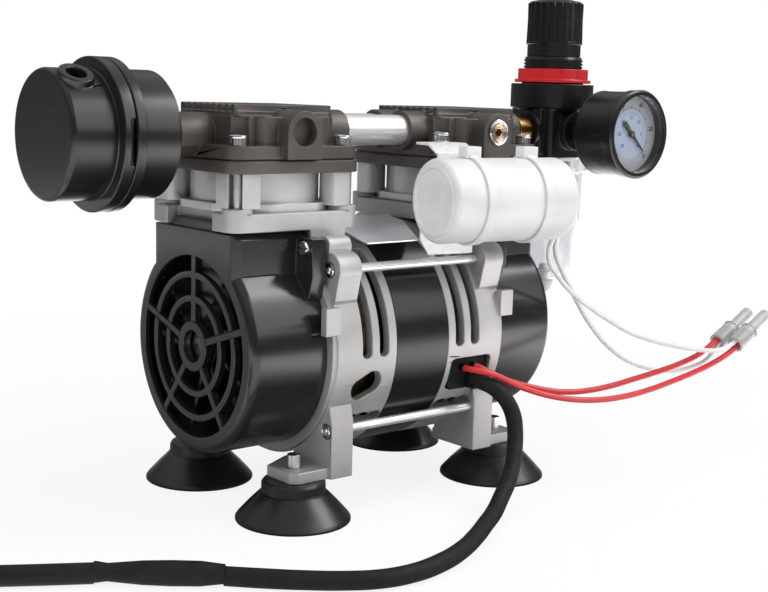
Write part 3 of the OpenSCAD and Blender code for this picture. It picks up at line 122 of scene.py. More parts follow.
WHITE_B = [
    (0.0629, -0.0628, 0.1315), (0.068, -0.0626, 0.1305), (0.073, -0.0612, 0.126), (0.0749, -0.06, 0.1185),
    (0.0752, -0.059, 0.111), (0.0799, -0.0583, 0.1029), (0.088, -0.0574, 0.093), (0.0971, -0.056, 0.0827),
    (0.106, -0.0556, 0.0729), (0.115, -0.0585, 0.0625), (0.1235, -0.0645, 0.0545), (0.133, -0.071, 0.05),
    (0.1425, -0.078, 0.0485), (0.1515, -0.085, 0.051), (0.157, -0.09, 0.0555), (0.16, -0.092, 0.0612),
    (0.1671, -0.092, 0.0649)]
RED_A = [
    (0.0335, -0.0505, 0.0588), (0.0345, -0.053, 0.0582), (0.038, -0.0548, 0.0562), (0.0445, -0.0563, 0.053),
    (0.052, -0.0585, 0.05), (0.06, -0.061, 0.0475), (0.07, -0.0645, 0.045), (0.081, -0.068, 0.0437),
    (0.092, -0.0715, 0.044), (0.103, -0.075, 0.0455), (0.115, -0.0785, 0.048), (0.127, -0.083, 0.051),
    (0.138, -0.087, 0.0543), (0.149, -0.091, 0.059), (0.1585, -0.092, 0.064), (0.1656, -0.092, 0.0678)]
RED_B = [
    (0.027, -0.0505, 0.0584), (0.0275, -0.055, 0.0584), (0.0305, -0.0585, 0.0578), (0.037, -0.061, 0.0558),
    (0.0465, -0.0645, 0.0508), (0.055, -0.0675, 0.0473), (0.065, -0.071, 0.0442), (0.076, -0.0745, 0.042),
    (0.088, -0.0785, 0.041), (0.101, -0.083, 0.0417), (0.115, -0.0875, 0.0442), (0.128, -0.092, 0.048),
    (0.14, -0.0965, 0.0523), (0.151, -0.1005, 0.0572), (0.1605, -0.102, 0.0617), (0.1675, -0.102, 0.0655)]


def coil_route(turns=1.75, radius=0.046, pitch=0.0098, steps=24, layers=(0.0043, 0.0136)):
    """The put-away length: in along the lower layer, up a layer in half a turn, and out again."""
    outer = radius + turns * pitch / 2
    centre = (COIL_FIRST[0] - outer * math.cos(COIL_START), COIL_FIRST[1] - outer * math.sin(COIL_START))
    route = []
    for i in range(int((2 * turns + 0.5) * steps) + 1):
        t = i / steps
        climb = min(max(0, t - turns), 0.5)
        r = outer - min(t, turns) * pitch + max(0, t - turns - 0.5) * pitch
        rise = (1 - math.cos(2 * math.pi * climb)) / 2
        angle = COIL_START + 2 * math.pi * t
        route.append((centre[0] + r * math.cos(angle), centre[1] + r * math.sin(angle),
                      layers[0] + rise * (layers[1] - layers[0])))
    return route


COIL_ROUTE = coil_route()
RUN_OUT = Vector((math.cos(COIL_START + math.pi / 2), math.sin(COIL_START + math.pi / 2), 0))
PLUG_PLACE = Vector(COIL_ROUTE[-1]) + RUN_OUT * 0.038
PLUG_PLACE.z = 0.015


def length_property(name, description, default):
    return bpy.props.FloatProperty(
        name=name, description=description, default=default, unit="LENGTH", subtype="DISTANCE")


def colour_property(name, description, default):
    return bpy.props.FloatVectorProperty(
        name=name, description=description, default=default, size=3, subtype="COLOR", min=0, max=1)


class PumpSizes(bpy.types.PropertyGroup):
    """Sizes that a user may change"""

    casting_edge: length_property("Casting edge", "Rounding of the die-cast edges", 0.0005)
    moulding_edge: length_property("Moulding edge", "Rounding of the moulded plastic edges", 0.0004)
    turned_edge: length_property("Turned edge", "Chamfer on turned and plated metal", 0.0002)
    lead_width: length_property("Lead diameter", "Diameter of the sleeved power lead", 0.0074)
    tail_width: length_property("Mains cable diameter", "Diameter of the cable past the joint", 0.008)
    red_width: length_property("Red wire diameter", "Diameter of the motor's red wires", 0.0028)
    white_width: length_property("White wire diameter", "Diameter of the capacitor's wires", 0.0023)
    floor_width: length_property("Floor width", "Width of the pale floor", 16.0)
    dial_divisions: bpy.props.IntProperty(
        name="Dial divisions", description="Numbered divisions on the gauge", default=10)
    head_knurls: bpy.props.IntProperty(
        name="Bolt knurls", description="Ridges round each head bolt", default=18)


class PumpColours(bpy.types.PropertyGroup):
    """Colours that a user may change"""

    casting: colour_property("Castings", "Bare cast aluminium of the end frames", (0.48, 0.47, 0.465))
    machined: colour_property("Cylinders", "Machined aluminium", (0.60, 0.60, 0.60))
    heads: colour_property("Heads", "Taupe finish of the heads and valve plates", (0.104, 0.091, 0.083))
    covers: colour_property("Covers", "Charcoal mouldings of the fan covers", (0.0135, 0.013, 0.014))
    silencer: colour_property("Silencer", "Black of the silencer", (0.010, 0.010, 0.011))
    regulator: colour_property("Regulator", "Black of the regulator and gauge", (0.0065, 0.0065, 0.007))
    lock: colour_property("Lock ring", "Red of the lock ring", (0.60, 0.016, 0.022))
    capacitor: colour_property("Capacitor", "White of the capacitor and its ties", (0.74, 0.74, 0.75))
    rubber: colour_property("Feet", "Black rubber of the suction feet", (0.008, 0.008, 0.0085))
    lead: colour_property("Power lead", "Sleeve of the power lead", (0.014, 0.014, 0.0148))
    red_wire: colour_property("Red wires", "Insulation of the motor wires", (0.60, 0.028, 0.036))
    white_wire: colour_property("White wires", "Insulation of the capacitor wires", (0.78, 0.77, 0.76))
    dial_inner: colour_property("Dial middle", "Pale blue middle of the dial", (0.39, 0.44, 0.56))
    dial_outer: colour_property("Dial rim", "Silver-grey rim of the dial", (0.37, 0.37, 0.41))


def configured(thing, **settings):
    """Sets a thing's settings and gives it back."""
    for name, setting in settings.items():
        setattr(thing, name, setting)
    return thing


# Finishes

def shade(colour, amount):
    return tuple(min(1.0, c * amount) for c in colour[:3])


class Value:
    """A socket that carries one number. Arithmetic on it adds Math nodes."""

    def __init__(self, finish, socket):
        self.finish = finish
        self.socket = socket

    def calc(self, operation, *values):
        node = self.finish.node("Math", dict(enumerate(values)), operation=operation)
        return Value(self.finish, node.outputs[0])

    def __add__(self, other):
        return self.calc("ADD", self, other)

    def __sub__(self, other):
        return self.calc("SUBTRACT", self, other)

    def __rsub__(self, other):
        return self.calc("SUBTRACT", other, self)

    def __mul__(self, other):
        return self.calc("MULTIPLY", self, other)

    def __truediv__(self, other):
        return self.calc("DIVIDE", self, other)

    def __pow__(self, other):
        return self.calc("POWER", self, other)

    __radd__ = __add__
    __rmul__ = __mul__

    def sine(self):
        return self.calc("SINE", self)

    def step(self, low, high):
        """0 below low, 1 above high and smooth between."""
        node = self.finish.node(
            "MapRange", {0: self, 1: low, 2: high, 3: 0.0, 4: 1.0}, interpolation_type="SMOOTHSTEP")
        return Value(self.finish, node.outputs[0])


class Finish:
    """A material, or the world, while its nodes are laid out."""

    def __init__(self, name, kind="Material"):
        self.kind = kind
        self.block = (bpy.data.worlds if kind == "World" else bpy.data.materials).new(name)
        self.block.use_nodes = True
        self.tree = self.block.node_tree
        self.tree.nodes.clear()
        self.place = self.node("TexCoord").outputs["Generated" if kind == "World" else "Object"]

    def put(self, socket, value):
        value = getattr(value, "socket", value)
        if isinstance(value, bpy.types.NodeSocket):
            self.tree.links.new(value, socket)
        elif socket.type == "RGBA":
            socket.default_value = (*value[:3], 1.0)
        else:
            socket.default_value = value

    def node(self, kind, inputs=None, stops=None, **settings):
        node = configured(self.tree.nodes.new("ShaderNode" + kind), **settings)
        for i, (position, colour) in enumerate(stops or ()):
            elements = node.color_ramp.elements
            element = elements[i] if i < 2 else elements.new(position)
            element.position = position
            element.color = (*colour[:3], 1.0)
        for key, value in (inputs or {}).items():
            self.put(node.inputs[key], value)
        return node

    def noise(self, scale, detail=3.0, roughness=0.55, stretch=None):
        place = self.place
        if stretch:
            place = self.node("VectorMath", {0: place, 1: stretch}, operation="MULTIPLY").outputs[0]
        node = self.node("TexNoise", {"Vector": place, "Scale": scale, "Detail": detail, "Roughness": roughness})
        return Value(self, node.outputs[0])

    def axes(self):
        node = self.node("SeparateXYZ", {0: self.place})
        return [Value(self, socket) for socket in node.outputs]

    def ramp(self, factor, *stops):
        return self.node("ValToRGB", {0: factor}, stops=stops).outputs[0]

    def tint(self, factor, colour, *stops):
        """A ramp whose stops are a place and how much of the colour is there."""
        return self.ramp(factor, *((place, shade(colour, amount)) for place, amount in stops))

    def mix(self, factor, a, b):
        return self.node("Mix", {0: factor, 6: a, 7: b}, data_type="RGBA").outputs[2]

    def bump(self, height, distance):
        return self.node("Bump", {"Height": height, "Distance": distance, "Strength": 1.0}).outputs[0]

    def plain(self, **sockets):
        """The Principled shader, its sockets named with underscores for spaces."""
        named = {name.replace("_", " "): value for name, value in sockets.items()}
        return self.node("BsdfPrincipled", named).outputs[0]

    def blend(self, factor, a, b):
        """The number a where the factor is 0, b where it is 1."""
        return Value(self, self.node("Mix", {0: factor, 2: a, 3: b}).outputs[0])

    def done(self, shader):
        self.node("Output" + self.kind, {0: shader})
        return self.block


def layered(name, colour, fields, tone, stops, gloss, relief=(), depth=0.0, **fixed):
    """A finish of noise fields. tone, gloss and relief weigh the fields, and gloss has its base first."""
    f = Finish(name)
    noises = [f.noise(*field) for field in fields]

    def weighed(weights):
        return sum(noise * weight for noise, weight in zip(noises, weights) if weight)

    if relief:
        fixed["Normal"] = f.bump(weighed(relief), depth)
    return f.done(f.plain(
        Base_Color=f.tint(weighed(tone), colour, *stops), Roughness=gloss[0] + weighed(gloss[1:]), **fixed))


def satin_metal(name, colour, low, high, grain_size, grain_depth, metallic=1.0, stretch=None):
    """Metal with soft clouds in its colour and a fine grain."""
    return layered(
        name, colour, ((55, 3.0), (1 / grain_size, 3.0, 0.6, stretch)), tone=(0.7, 0.3),
        stops=((0.32, 0.86), (0.68, 1.06)), gloss=(low, 0.6 * (high - low), 0.4 * (high - low)),
        relief=(0, 1), depth=grain_depth, Metallic=metallic)


def moulded_plastic(name, colour, roughness, peel):
    """Moulded plastic: faint flow marks, an orange-peel skin and uneven gloss."""
    uneven = roughness * 0.16
    return layered(
        name, colour, ((24, 2.0, 0.5, (1, 1, 2.5)), (520, 2.0), (2600, 2.0)), tone=(1,),
        stops=((0.3, 0.88), (0.72, 1.12)), gloss=(roughness * 0.84, uneven, 0, uneven),
        relief=(0, 0.7, 0.3), depth=peel)


def machined_metal(name, colour):
    """Bright metal with fine turning lines round the upright axis."""
    return layered(
        name, colour, ((90, 3.0, 0.6, (1, 1, 55)), (40, 2.0)), tone=(0.5, 0.5),
        stops=((0.3, 0.9), (0.7, 1.05)), gloss=(0.24, 0.12, 0.1), relief=(1,), depth=0.000012, Metallic=0.5)


def painted_casting(name, colour):
    """A dark, slightly metallic finish over a fine sand-cast skin, rubbed lighter in patches."""
    return layered(
        name, colour, ((1500, 4.0, 0.65), (260, 2.0), (70, 4.0, 0.6)), tone=(0.25, 0, 0.75),
        stops=((0.34, 0.8), (0.56, 1), (0.74, 1.3)), gloss=(0.36, 0.16, 0.08),
        relief=(0.6, 0.4), depth=0.00007, Metallic=0.55)


def lacquered_stack(name, colour):
    """Gloss lacquer over thin steel sheets that stand side by side along the shaft."""
    return layered(
        name, colour, ((34, 1.0, 0.4, (60, 1, 1)), (120, 2.0)), tone=(1,), stops=((0.35, 0.88), (0.7, 1.15)),
        gloss=(0.2, 0.03, 0.06), relief=(0.7, 0.3), depth=0.000004, Specular_IOR_Level=0.42)


def rubber_finish(name, colour):
    """Rubber with a fine skin and some dust."""
    return layered(
        name, colour, ((900, 3.0), (38, 4.0, 0.65)), tone=(0, 1), stops=((0.4, 1), (0.78, 1.9)),
        gloss=(0.22, 0.05, 0.12), relief=(0.5, 0.5), depth=0.00004)


def sleeve_finish(name, colour):
    """A shrunk sleeve: dull, with fine creases."""
    return layered(
        name, colour, ((1300, 2.0), (170, 3.0, 0.6)), tone=(0, 1), stops=((0.3, 0.8), (0.75, 1.3)),
        gloss=(0.52, 0.16), relief=(0.25, 0.75), depth=0.00022, Specular_IOR_Level=0.16)


def wire_finish(name, colour):
    """A wire's soft insulation."""
    return layered(
        name, colour, ((700, 2.0), (110, 2.0)), tone=(0, 1), stops=((0.3, 0.93), (0.7, 1.04)),
        gloss=(0.3, 0.12), relief=(1,), depth=0.00002, Subsurface_Weight=0.08, Subsurface_Scale=0.001)


def brushed_finish(name, colour):
    """Sheet metal brushed along the shaft."""
    return layered(
        name, colour, ((70, 4.0, 0.65, (1, 22, 22)),), tone=(1,), stops=((0.3, 0.88), (0.7, 1.06)),
        gloss=(0.3, 0.14), relief=(1,), depth=0.00001, Metallic=0.35)


def ink_finish(name, colour):
    """Printing ink."""
    return layered(name, colour, ((2400, 2.0),), tone=(1,), stops=((0.3, 0.85), (0.7, 1.2)), gloss=(0.45, 0.1))


def clear_finish(name, tint, haze, roughness=0.06):
    """Clear plastic: what is behind it shows, gloss lies over it and its edges are denser."""
    f = Finish(name)
    smear = f.noise(60, 3.0)
    edge = Value(f, f.node("LayerWeight", {"Blend": 0.3}).outputs["Facing"])
    body = f.plain(Base_Color=f.tint(smear, tint, (0.3, 0.5), (0.7, 0.6)), Roughness=roughness + smear * 0.05,
                   Normal=f.bump(smear, 0.00002))
    gloss = f.plain(Base_Color=(0, 0, 0), Roughness=roughness + smear * 0.04)
    through = f.node("BsdfTransparent", {0: tint}).outputs[0]
    layers = f.node("AddShader", {0: through, 1: gloss}).outputs[0]
    return f.done(f.node("MixShader", {0: haze + edge * edge * haze * 4, 1: layers, 2: body}).outputs[0])


def galvanised_finish(name, colour):
    """Zinc flowers: patches of slightly different grey, each with its own gloss."""
    f = Finish(name)
    cells = f.node("TexVoronoi", {"Vector": f.place, "Scale": 420}).outputs["Color"]
    flower = Value(f, f.node("RGBToBW", {0: cells}).outputs[0])
    grain = f.noise(1800, 2.0)
    return f.done(f.plain(
        Base_Color=f.tint(flower, colour, (0.2, 0.93), (0.8, 1.03)), Metallic=0.4, Roughness=0.4 + flower * 0.08,
        Normal=f.bump(grain + flower * 0.5, 0.000015)))


def wound_copper(name):
    """Varnished copper wire wound round the shaft."""
    f = Finish(name)
    x, y, z = f.axes()
    radius = (y * y + (z - SHAFT_Z) * (z - SHAFT_Z)) ** 0.5
    windings = 7000
    wires = (radius * windings).sine() * (x * windings).sine() * 0.5 + 0.5
    varnish = f.noise(150, 3.0)
    return f.done(f.plain(
        # The ramp's brightest stop paints copper glints on the crests of the wires; the darker stops are the varnish
        Base_Color=f.ramp(wires * 0.6 + varnish * 0.4, (0.15, (0.006, 0.008, 0.006)), (0.6, (0.03, 0.036, 0.018)),
                          (0.95, (0.30, 0.22, 0.09))),
        Metallic=0.5, Roughness=0.26 + varnish * 0.2, Normal=f.bump(wires, 0.0002)))


def felt_finish(name):
    """Pressed felt."""
    f = Finish(name)
    fibres = f.noise(1600, 4.0, 0.7, (1, 1, 3))
    clumps = f.noise(180, 3.0)
    return f.done(f.plain(
        Base_Color=f.ramp(fibres * 0.6 + clumps * 0.4, (0.3, (0.46, 0.43, 0.36)), (0.7, (0.68, 0.65, 0.58))),
        Roughness=0.9, Sheen_Weight=0.25, Normal=f.bump(fibres, 0.0002)))


def dial_finish(name, inner, outer):
    """Printed sheet: a silver-grey rim round a pale blue middle."""
    f = Finish(name)
    x, y, z = f.axes()
    radius = ((x - DIAL_CENTRE[0]) ** 2 + (z - DIAL_CENTRE[2]) ** 2) ** 0.5
    rim = radius.step(0.0119, 0.0124)
    speck = f.noise(1700, 2.0)
    return f.done(f.plain(
        Base_Color=f.mix(rim, *(f.tint(speck, colour, (0.3, 0.94), (0.7, 1.05)) for colour in (inner, outer))),
        Roughness=0.34 + speck * 0.1, Normal=f.bump(speck, 0.000006)))


@cache
def finish(name):
    """Makes each finish once."""
    c = bpy.context.scene.pump_colours
    make, *values = {
        "cast_aluminium": (satin_metal, c.casting, 0.46, 0.6, 0.0008, 0.00004, 0.62),
        "machined_aluminium": (machined_metal, c.machined),
        "black_lacquer": (lacquered_stack, (0.008, 0.0075, 0.008)),
        "copper_wire": (wound_copper,),
        "steel": (satin_metal, (0.66, 0.65, 0.63), 0.2, 0.34, 0.0005, 0.000012),
        "plated": (satin_metal, (0.80, 0.80, 0.80), 0.14, 0.2, 0.002, 0.000004),
        "bronze": (satin_metal, (0.50, 0.36, 0.24), 0.24, 0.36, 0.0006, 0.000012),
        "brass": (satin_metal, (0.46, 0.27, 0.10), 0.22, 0.34, 0.0006, 0.000008),
        "bearing_steel": (satin_metal, (0.56, 0.56, 0.57), 0.2, 0.3, 0.0004, 0.00001),
        "satin_pipe": (satin_metal, (0.82, 0.82, 0.83), 0.24, 0.36, 0.0006, 0.00001, 0.55, (1, 20, 20)),
        "bare_plate": (brushed_finish, (0.84, 0.85, 0.88)),
        "galvanised": (galvanised_finish, (0.86, 0.865, 0.87)),
        "taupe_paint": (painted_casting, c.heads),
        "charcoal_gloss": (moulded_plastic, c.covers, 0.2, 0.000008),
        "black_satin": (moulded_plastic, c.silencer, 0.26, 0.000016),
        "black_plastic": (moulded_plastic, c.regulator, 0.28, 0.00002),
        "red_plastic": (moulded_plastic, c.lock, 0.28, 0.000015),
        "white_plastic": (moulded_plastic, c.capacitor, 0.36, 0.00002),
        "piston_seal": (moulded_plastic, (0.16, 0.14, 0.11), 0.5, 0.00004),
        "black_rubber": (rubber_finish, c.rubber),
        # Partly the grommet rubber's own black, partly painted shade: the flush boot is darkened to stand in for the
        # deep recess round the lead
        "grommet": (sleeve_finish, (0.004, 0.004, 0.0042)),
        "lead_sheath": (sleeve_finish, c.lead),
        "red_insulation": (wire_finish, c.red_wire),
        "white_insulation": (wire_finish, c.white_wire),
        "filter_felt": (felt_finish,),
        "clear_plastic": (clear_finish, (0.945, 0.94, 0.952), 0.10),
        "lens": (clear_finish, (0.985, 0.99, 0.99), 0.004, 0.02),
        "crimp_nylon": (clear_finish, (0.86, 0.86, 0.85), 0.5, 0.3),
        "dial_face": (dial_finish, c.dial_inner, c.dial_outer),
        "dial_ink": (ink_finish, (0.02, 0.02, 0.022)),
        "dial_blue": (ink_finish, (0.04, 0.10, 0.34)),
    }[name]
    return make(name, *values)


# Pieces

def add_piece(name, data):
    piece = bpy.data.objects.new(name, data)
    bpy.context.scene.collection.objects.link(piece)
    return piece


def mesh_from(bm, name, recalc=True):
    if recalc:
        bmesh.ops.recalc_face_normals(bm, faces=bm.faces)
    mesh = bpy.data.meshes.new(name)
    bm.to_mesh(mesh)
    bm.free()
    return mesh


def settle(piece, finish_name, slot, body, *nodes):
    """Gives a piece its finish, hides the nodes it stands for and puts it on the body it rides on. The slot is not
    used.
    """
    piece.data.materials.clear()
    piece.data.materials.append(finish(finish_name))
    if nodes:
        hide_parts(*nodes)
    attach(piece, body)
    return piece


def new_piece(name, data, *settled):
    """A piece from a mesh or curve, settled at once."""
    return settle(add_piece(name, data), *settled)


def apply_modifiers(piece):
    """Turns what the modifiers make into the piece's own mesh and removes them."""
    evaluated = piece.evaluated_get(bpy.context.evaluated_depsgraph_get())
    mesh = bpy.data.meshes.new_from_object(evaluated)
    piece.modifiers.clear()
    piece.data = mesh
    return piece


def smooth(mesh, angle=38):
    mesh.shade_smooth()
    mesh.set_sharp_from_angle(angle=math.radians(angle))


def rounded(piece, width, segments):
    """Rounds the hard edges of a piece and shades it as one skin."""
    configured(
        piece.modifiers.new("edges", "BEVEL"), width=width, segments=segments, limit_method="ANGLE",
        angle_limit=math.radians(33), use_clamp_overlap=False, miter_outer="MITER_ARC")
    apply_modifiers(piece)
    smooth(piece.data)
    piece.modifiers.new("shading", "WEIGHTED_NORMAL").keep_sharp = True
    return apply_modifiers(piece)


def from_node(node, name, width, finish_name, slot=None, segments=2):
    """A piece made from a CAD node: its triangles merged into faces, its edges rounded."""
    source = frame["nodes"][node]
    bm = bmesh.new()
    bm.from_mesh(source.data)
    bmesh.ops.remove_doubles(bm, verts=bm.verts, dist=2e-6)
    flat = math.radians(0.1 if node.endswith("frame") else 0.4)
    bmesh.ops.dissolve_limit(bm, angle_limit=flat, verts=bm.verts, edges=bm.edges, use_dissolve_boundaries=False)
    bmesh.ops.connect_verts_concave(bm, faces=[face for face in bm.faces if len(face.verts) > 4])
    piece = add_piece(name, mesh_from(bm, node, False))
    if width:
        rounded(piece, width, segments)
    else:
        smooth(piece.data)
    return settle(piece, finish_name, slot or finish_name, body_of(source)[0], node)


def at(place, axis="Z", degrees=0):
    """A turn about one axis, then a move to a place."""
    return Matrix.Translation(place) @ Matrix.Rotation(math.radians(degrees), 4, axis)


def fillet(points, closed):
    """Rounds the corners of an outline of (along, radius, rounding)."""
    out = []
    count = len(points)
    for i, point in enumerate(points):
        here = Vector(point[:2])
        size = point[2] if len(point) > 2 else 0
        ends = not closed and i in (0, count - 1)
        if not size or ends:
            out.append(here)
            continue
        before = Vector(points[i - 1][:2]) - here
        after = Vector(points[(i + 1) % count][:2]) - here
        half = before.angle(after) / 2
        cut = min(size / math.tan(half), before.length * 0.49, after.length * 0.49)
        a, b = here + before.normalized() * cut, here + after.normalized() * cut
        for k in range(5):
            t = k / 4
            out.append(a * (1 - t) ** 2 + here * 2 * t * (1 - t) + b * t ** 2)
    return out


def turned(name, outline, matrix, segments=96, closed=True):
    """A mesh turned about its own Z axis from an outline in millimetres, put in place by the matrix."""
    bm = bmesh.new()
    rings = []
    for along, radius in (point * MM for point in fillet(outline, closed)):
        if radius < 1e-7:
            rings.append([bm.verts.new((0, 0, along))])
        else:
            angles = [2 * math.pi * k / segments for k in range(segments)]
            rings.append([bm.verts.new((radius * math.cos(a), radius * math.sin(a), along)) for a in angles])
    pairs = list(zip(rings, rings[1:])) + ([(rings[-1], rings[0])] if closed else [])
    for a, b in pairs:
        for k in range(segments):
            corners = []
            for vert in (a[k % len(a)], a[(k + 1) % len(a)], b[(k + 1) % len(b)], b[k % len(b)]):
                if vert not in corners:
                    corners.append(vert)
            if len(corners) > 2:
                bm.faces.new(corners)
    bm.transform(matrix)
    mesh = mesh_from(bm, name)
    smooth(mesh, 40)
    return mesh


def joined(name, meshes):
    """Several meshes in one."""
    bm = bmesh.new()
    for mesh in meshes:
        bm.from_mesh(mesh)
    return mesh_from(bm, name, False)


def add_to(piece, *meshes):
    """Joins more meshes to a piece, in its own finish."""
    material = piece.data.materials[0]
    piece.data = joined(piece.name, [piece.data, *meshes])
    piece.data.materials.append(material)


def block(size, place=(0, 0, 0)):
    """A small chamfered block."""
    bm = bmesh.new()
    bmesh.ops.create_cube(bm, size=1)
    bmesh.ops.scale(bm, vec=size, verts=bm.verts)
    bmesh.ops.bevel(bm, geom=bm.edges[:], offset=min(size) * 0.22, segments=1, affect="EDGES")
    bm.transform(Matrix.Translation(place))
    return mesh_from(bm, "block")


# Geometry Nodes

class Growth:
    """A Geometry Nodes tree while its nodes are laid out."""

    def __init__(self, name, **sockets):
        self.tree = bpy.data.node_groups.new(name, "GeometryNodeTree")
        self.tree.interface.new_socket("Geometry", in_out="INPUT", socket_type="NodeSocketGeometry")
        for label, kind in sockets.items():
            self.tree.interface.new_socket(label, in_out="INPUT", socket_type="NodeSocket" + kind)
        self.tree.interface.new_socket("Geometry", in_out="OUTPUT", socket_type="NodeSocketGeometry")
        self.start = self.tree.nodes.new("NodeGroupInput").outputs

    def node(self, kind, inputs=None, **settings):
        node = configured(self.tree.nodes.new(kind), **settings)
        for key, value in (inputs or {}).items():
            if isinstance(value, bpy.types.NodeSocket):
                self.tree.links.new(value, node.inputs[key])
            else:
                node.inputs[key].default_value = value
        return node.outputs

    def done(self, points, piece, turn=(0, 0, 0)):
        """Ends the tree with a real copy of a piece at each point."""
        copies = {"Points": points, "Instance": piece, "Rotation": turn}
        instances = self.node("GeometryNodeInstanceOnPoints", copies)[0]
        real = self.node("GeometryNodeRealizeInstances", {0: instances})[0]
        skin = self.node("GeometryNodeSetMaterial", {"Geometry": real, "Material": self.start["Material"]})[0]
        self.tree.links.new(skin, self.tree.nodes.new("NodeGroupOutput").inputs[0])
        return self.tree


@cache
def ring_tree():
    """Copies of a piece turned about an axis, a fixed angle apart."""
    g = Growth("ring_of_pieces", Count="Int", Angle="Float", Axis="Vector", Centre="Vector", Material="Material")
    points = g.node("GeometryNodePoints", {"Count": g.start["Count"], "Position": g.start["Centre"]})[0]
    back = g.node("ShaderNodeVectorMath", {0: g.start["Centre"], 1: (-1, -1, -1)}, operation="MULTIPLY")[0]
    piece = g.node("GeometryNodeTransform", {"Geometry": g.start["Geometry"], "Translation": back})[0]
    index = g.node("GeometryNodeInputIndex")[0]
    angle = g.node("ShaderNodeMath", {0: index, 1: g.start["Angle"]}, operation="MULTIPLY")[0]
    turn = g.node("FunctionNodeAxisAngleToRotation", {"Axis": g.start["Axis"], "Angle": angle})[0]
    return g.done(points, piece, turn)


@cache
def row_tree():
    """Copies of a piece in a straight row."""
    g = Growth("row_of_pieces", Count="Int", Step="Vector", Material="Material")
    index = g.node("GeometryNodeInputIndex")[0]
    shift = g.node("ShaderNodeVectorMath", {0: g.start["Step"], "Scale": index}, operation="SCALE")[0]
    points = g.node("GeometryNodePoints", {"Count": g.start["Count"], "Position": shift})[0]
    return g.done(points, g.start["Geometry"])


@cache
def places_tree():
    """Copies of a piece at the points of a mesh, each turned by a chance amount about the upright axis."""
    g = Growth("pieces_at_places", Piece="Object", Turn="Float", Seed="Int", Material="Material")
    piece = g.node("GeometryNodeObjectInfo", {"Object": g.start["Piece"]}, transform_space="ORIGINAL")["Geometry"]
    chance = {2: 0.0, 3: g.start["Turn"], "Seed": g.start["Seed"]}
    spin = g.node("FunctionNodeRandomValue", chance, data_type="FLOAT")[1]
    turn = g.node("FunctionNodeAxisAngleToRotation", {"Axis": UP, "Angle": spin})[0]
    return g.done(g.start["Geometry"], piece, turn)


def grown(name, mesh, make_tree, finish_name, **inputs):
    """A piece whose repeats are made by one of the trees above, as a plain mesh."""
    tree = make_tree()
    piece = add_piece(name, mesh)
    modifier = piece.modifiers.new("repeats", "NODES")
    modifier.node_group = tree
    inputs["Material"] = finish(finish_name)
    for item in tree.interface.items_tree:
        if item.in_out == "INPUT" and item.name in inputs:
            modifier[item.identifier] = inputs[item.name]
    return apply_modifiers(piece)


def points_mesh(name, places):
    mesh = bpy.data.meshes.new(name)
    mesh.from_pydata([tuple(p) for p in places], [], [])
    return mesh


def cord_piece(name, route, diameter, swell=None):
    """A cord as one smooth curve through its route."""
    curve = configured(
        bpy.data.curves.new(name, "CURVE"), dimensions="3D", bevel_depth=diameter / 2, bevel_resolution=6,
        resolution_u=5, use_fill_caps=True)
    spline = curve.splines.new("BEZIER")
    spline.bezier_points.add(len(route) - 1)
    for i, (point, place) in enumerate(zip(spline.bezier_points, route)):
        point.co = place
        point.handle_left_type = point.handle_right_type = "AUTO"
        point.radius = swell(i / (len(route) - 1)) if swell else 1.0
    return add_piece(name, curve)


def seen_straight(f, path):
    """1 for rays that come from the camera, through clear pieces too."""
    return (Value(f, path["Is Camera Ray"]) + Value(f, path["Is Transmission Ray"])).step(0.0, 1.0)


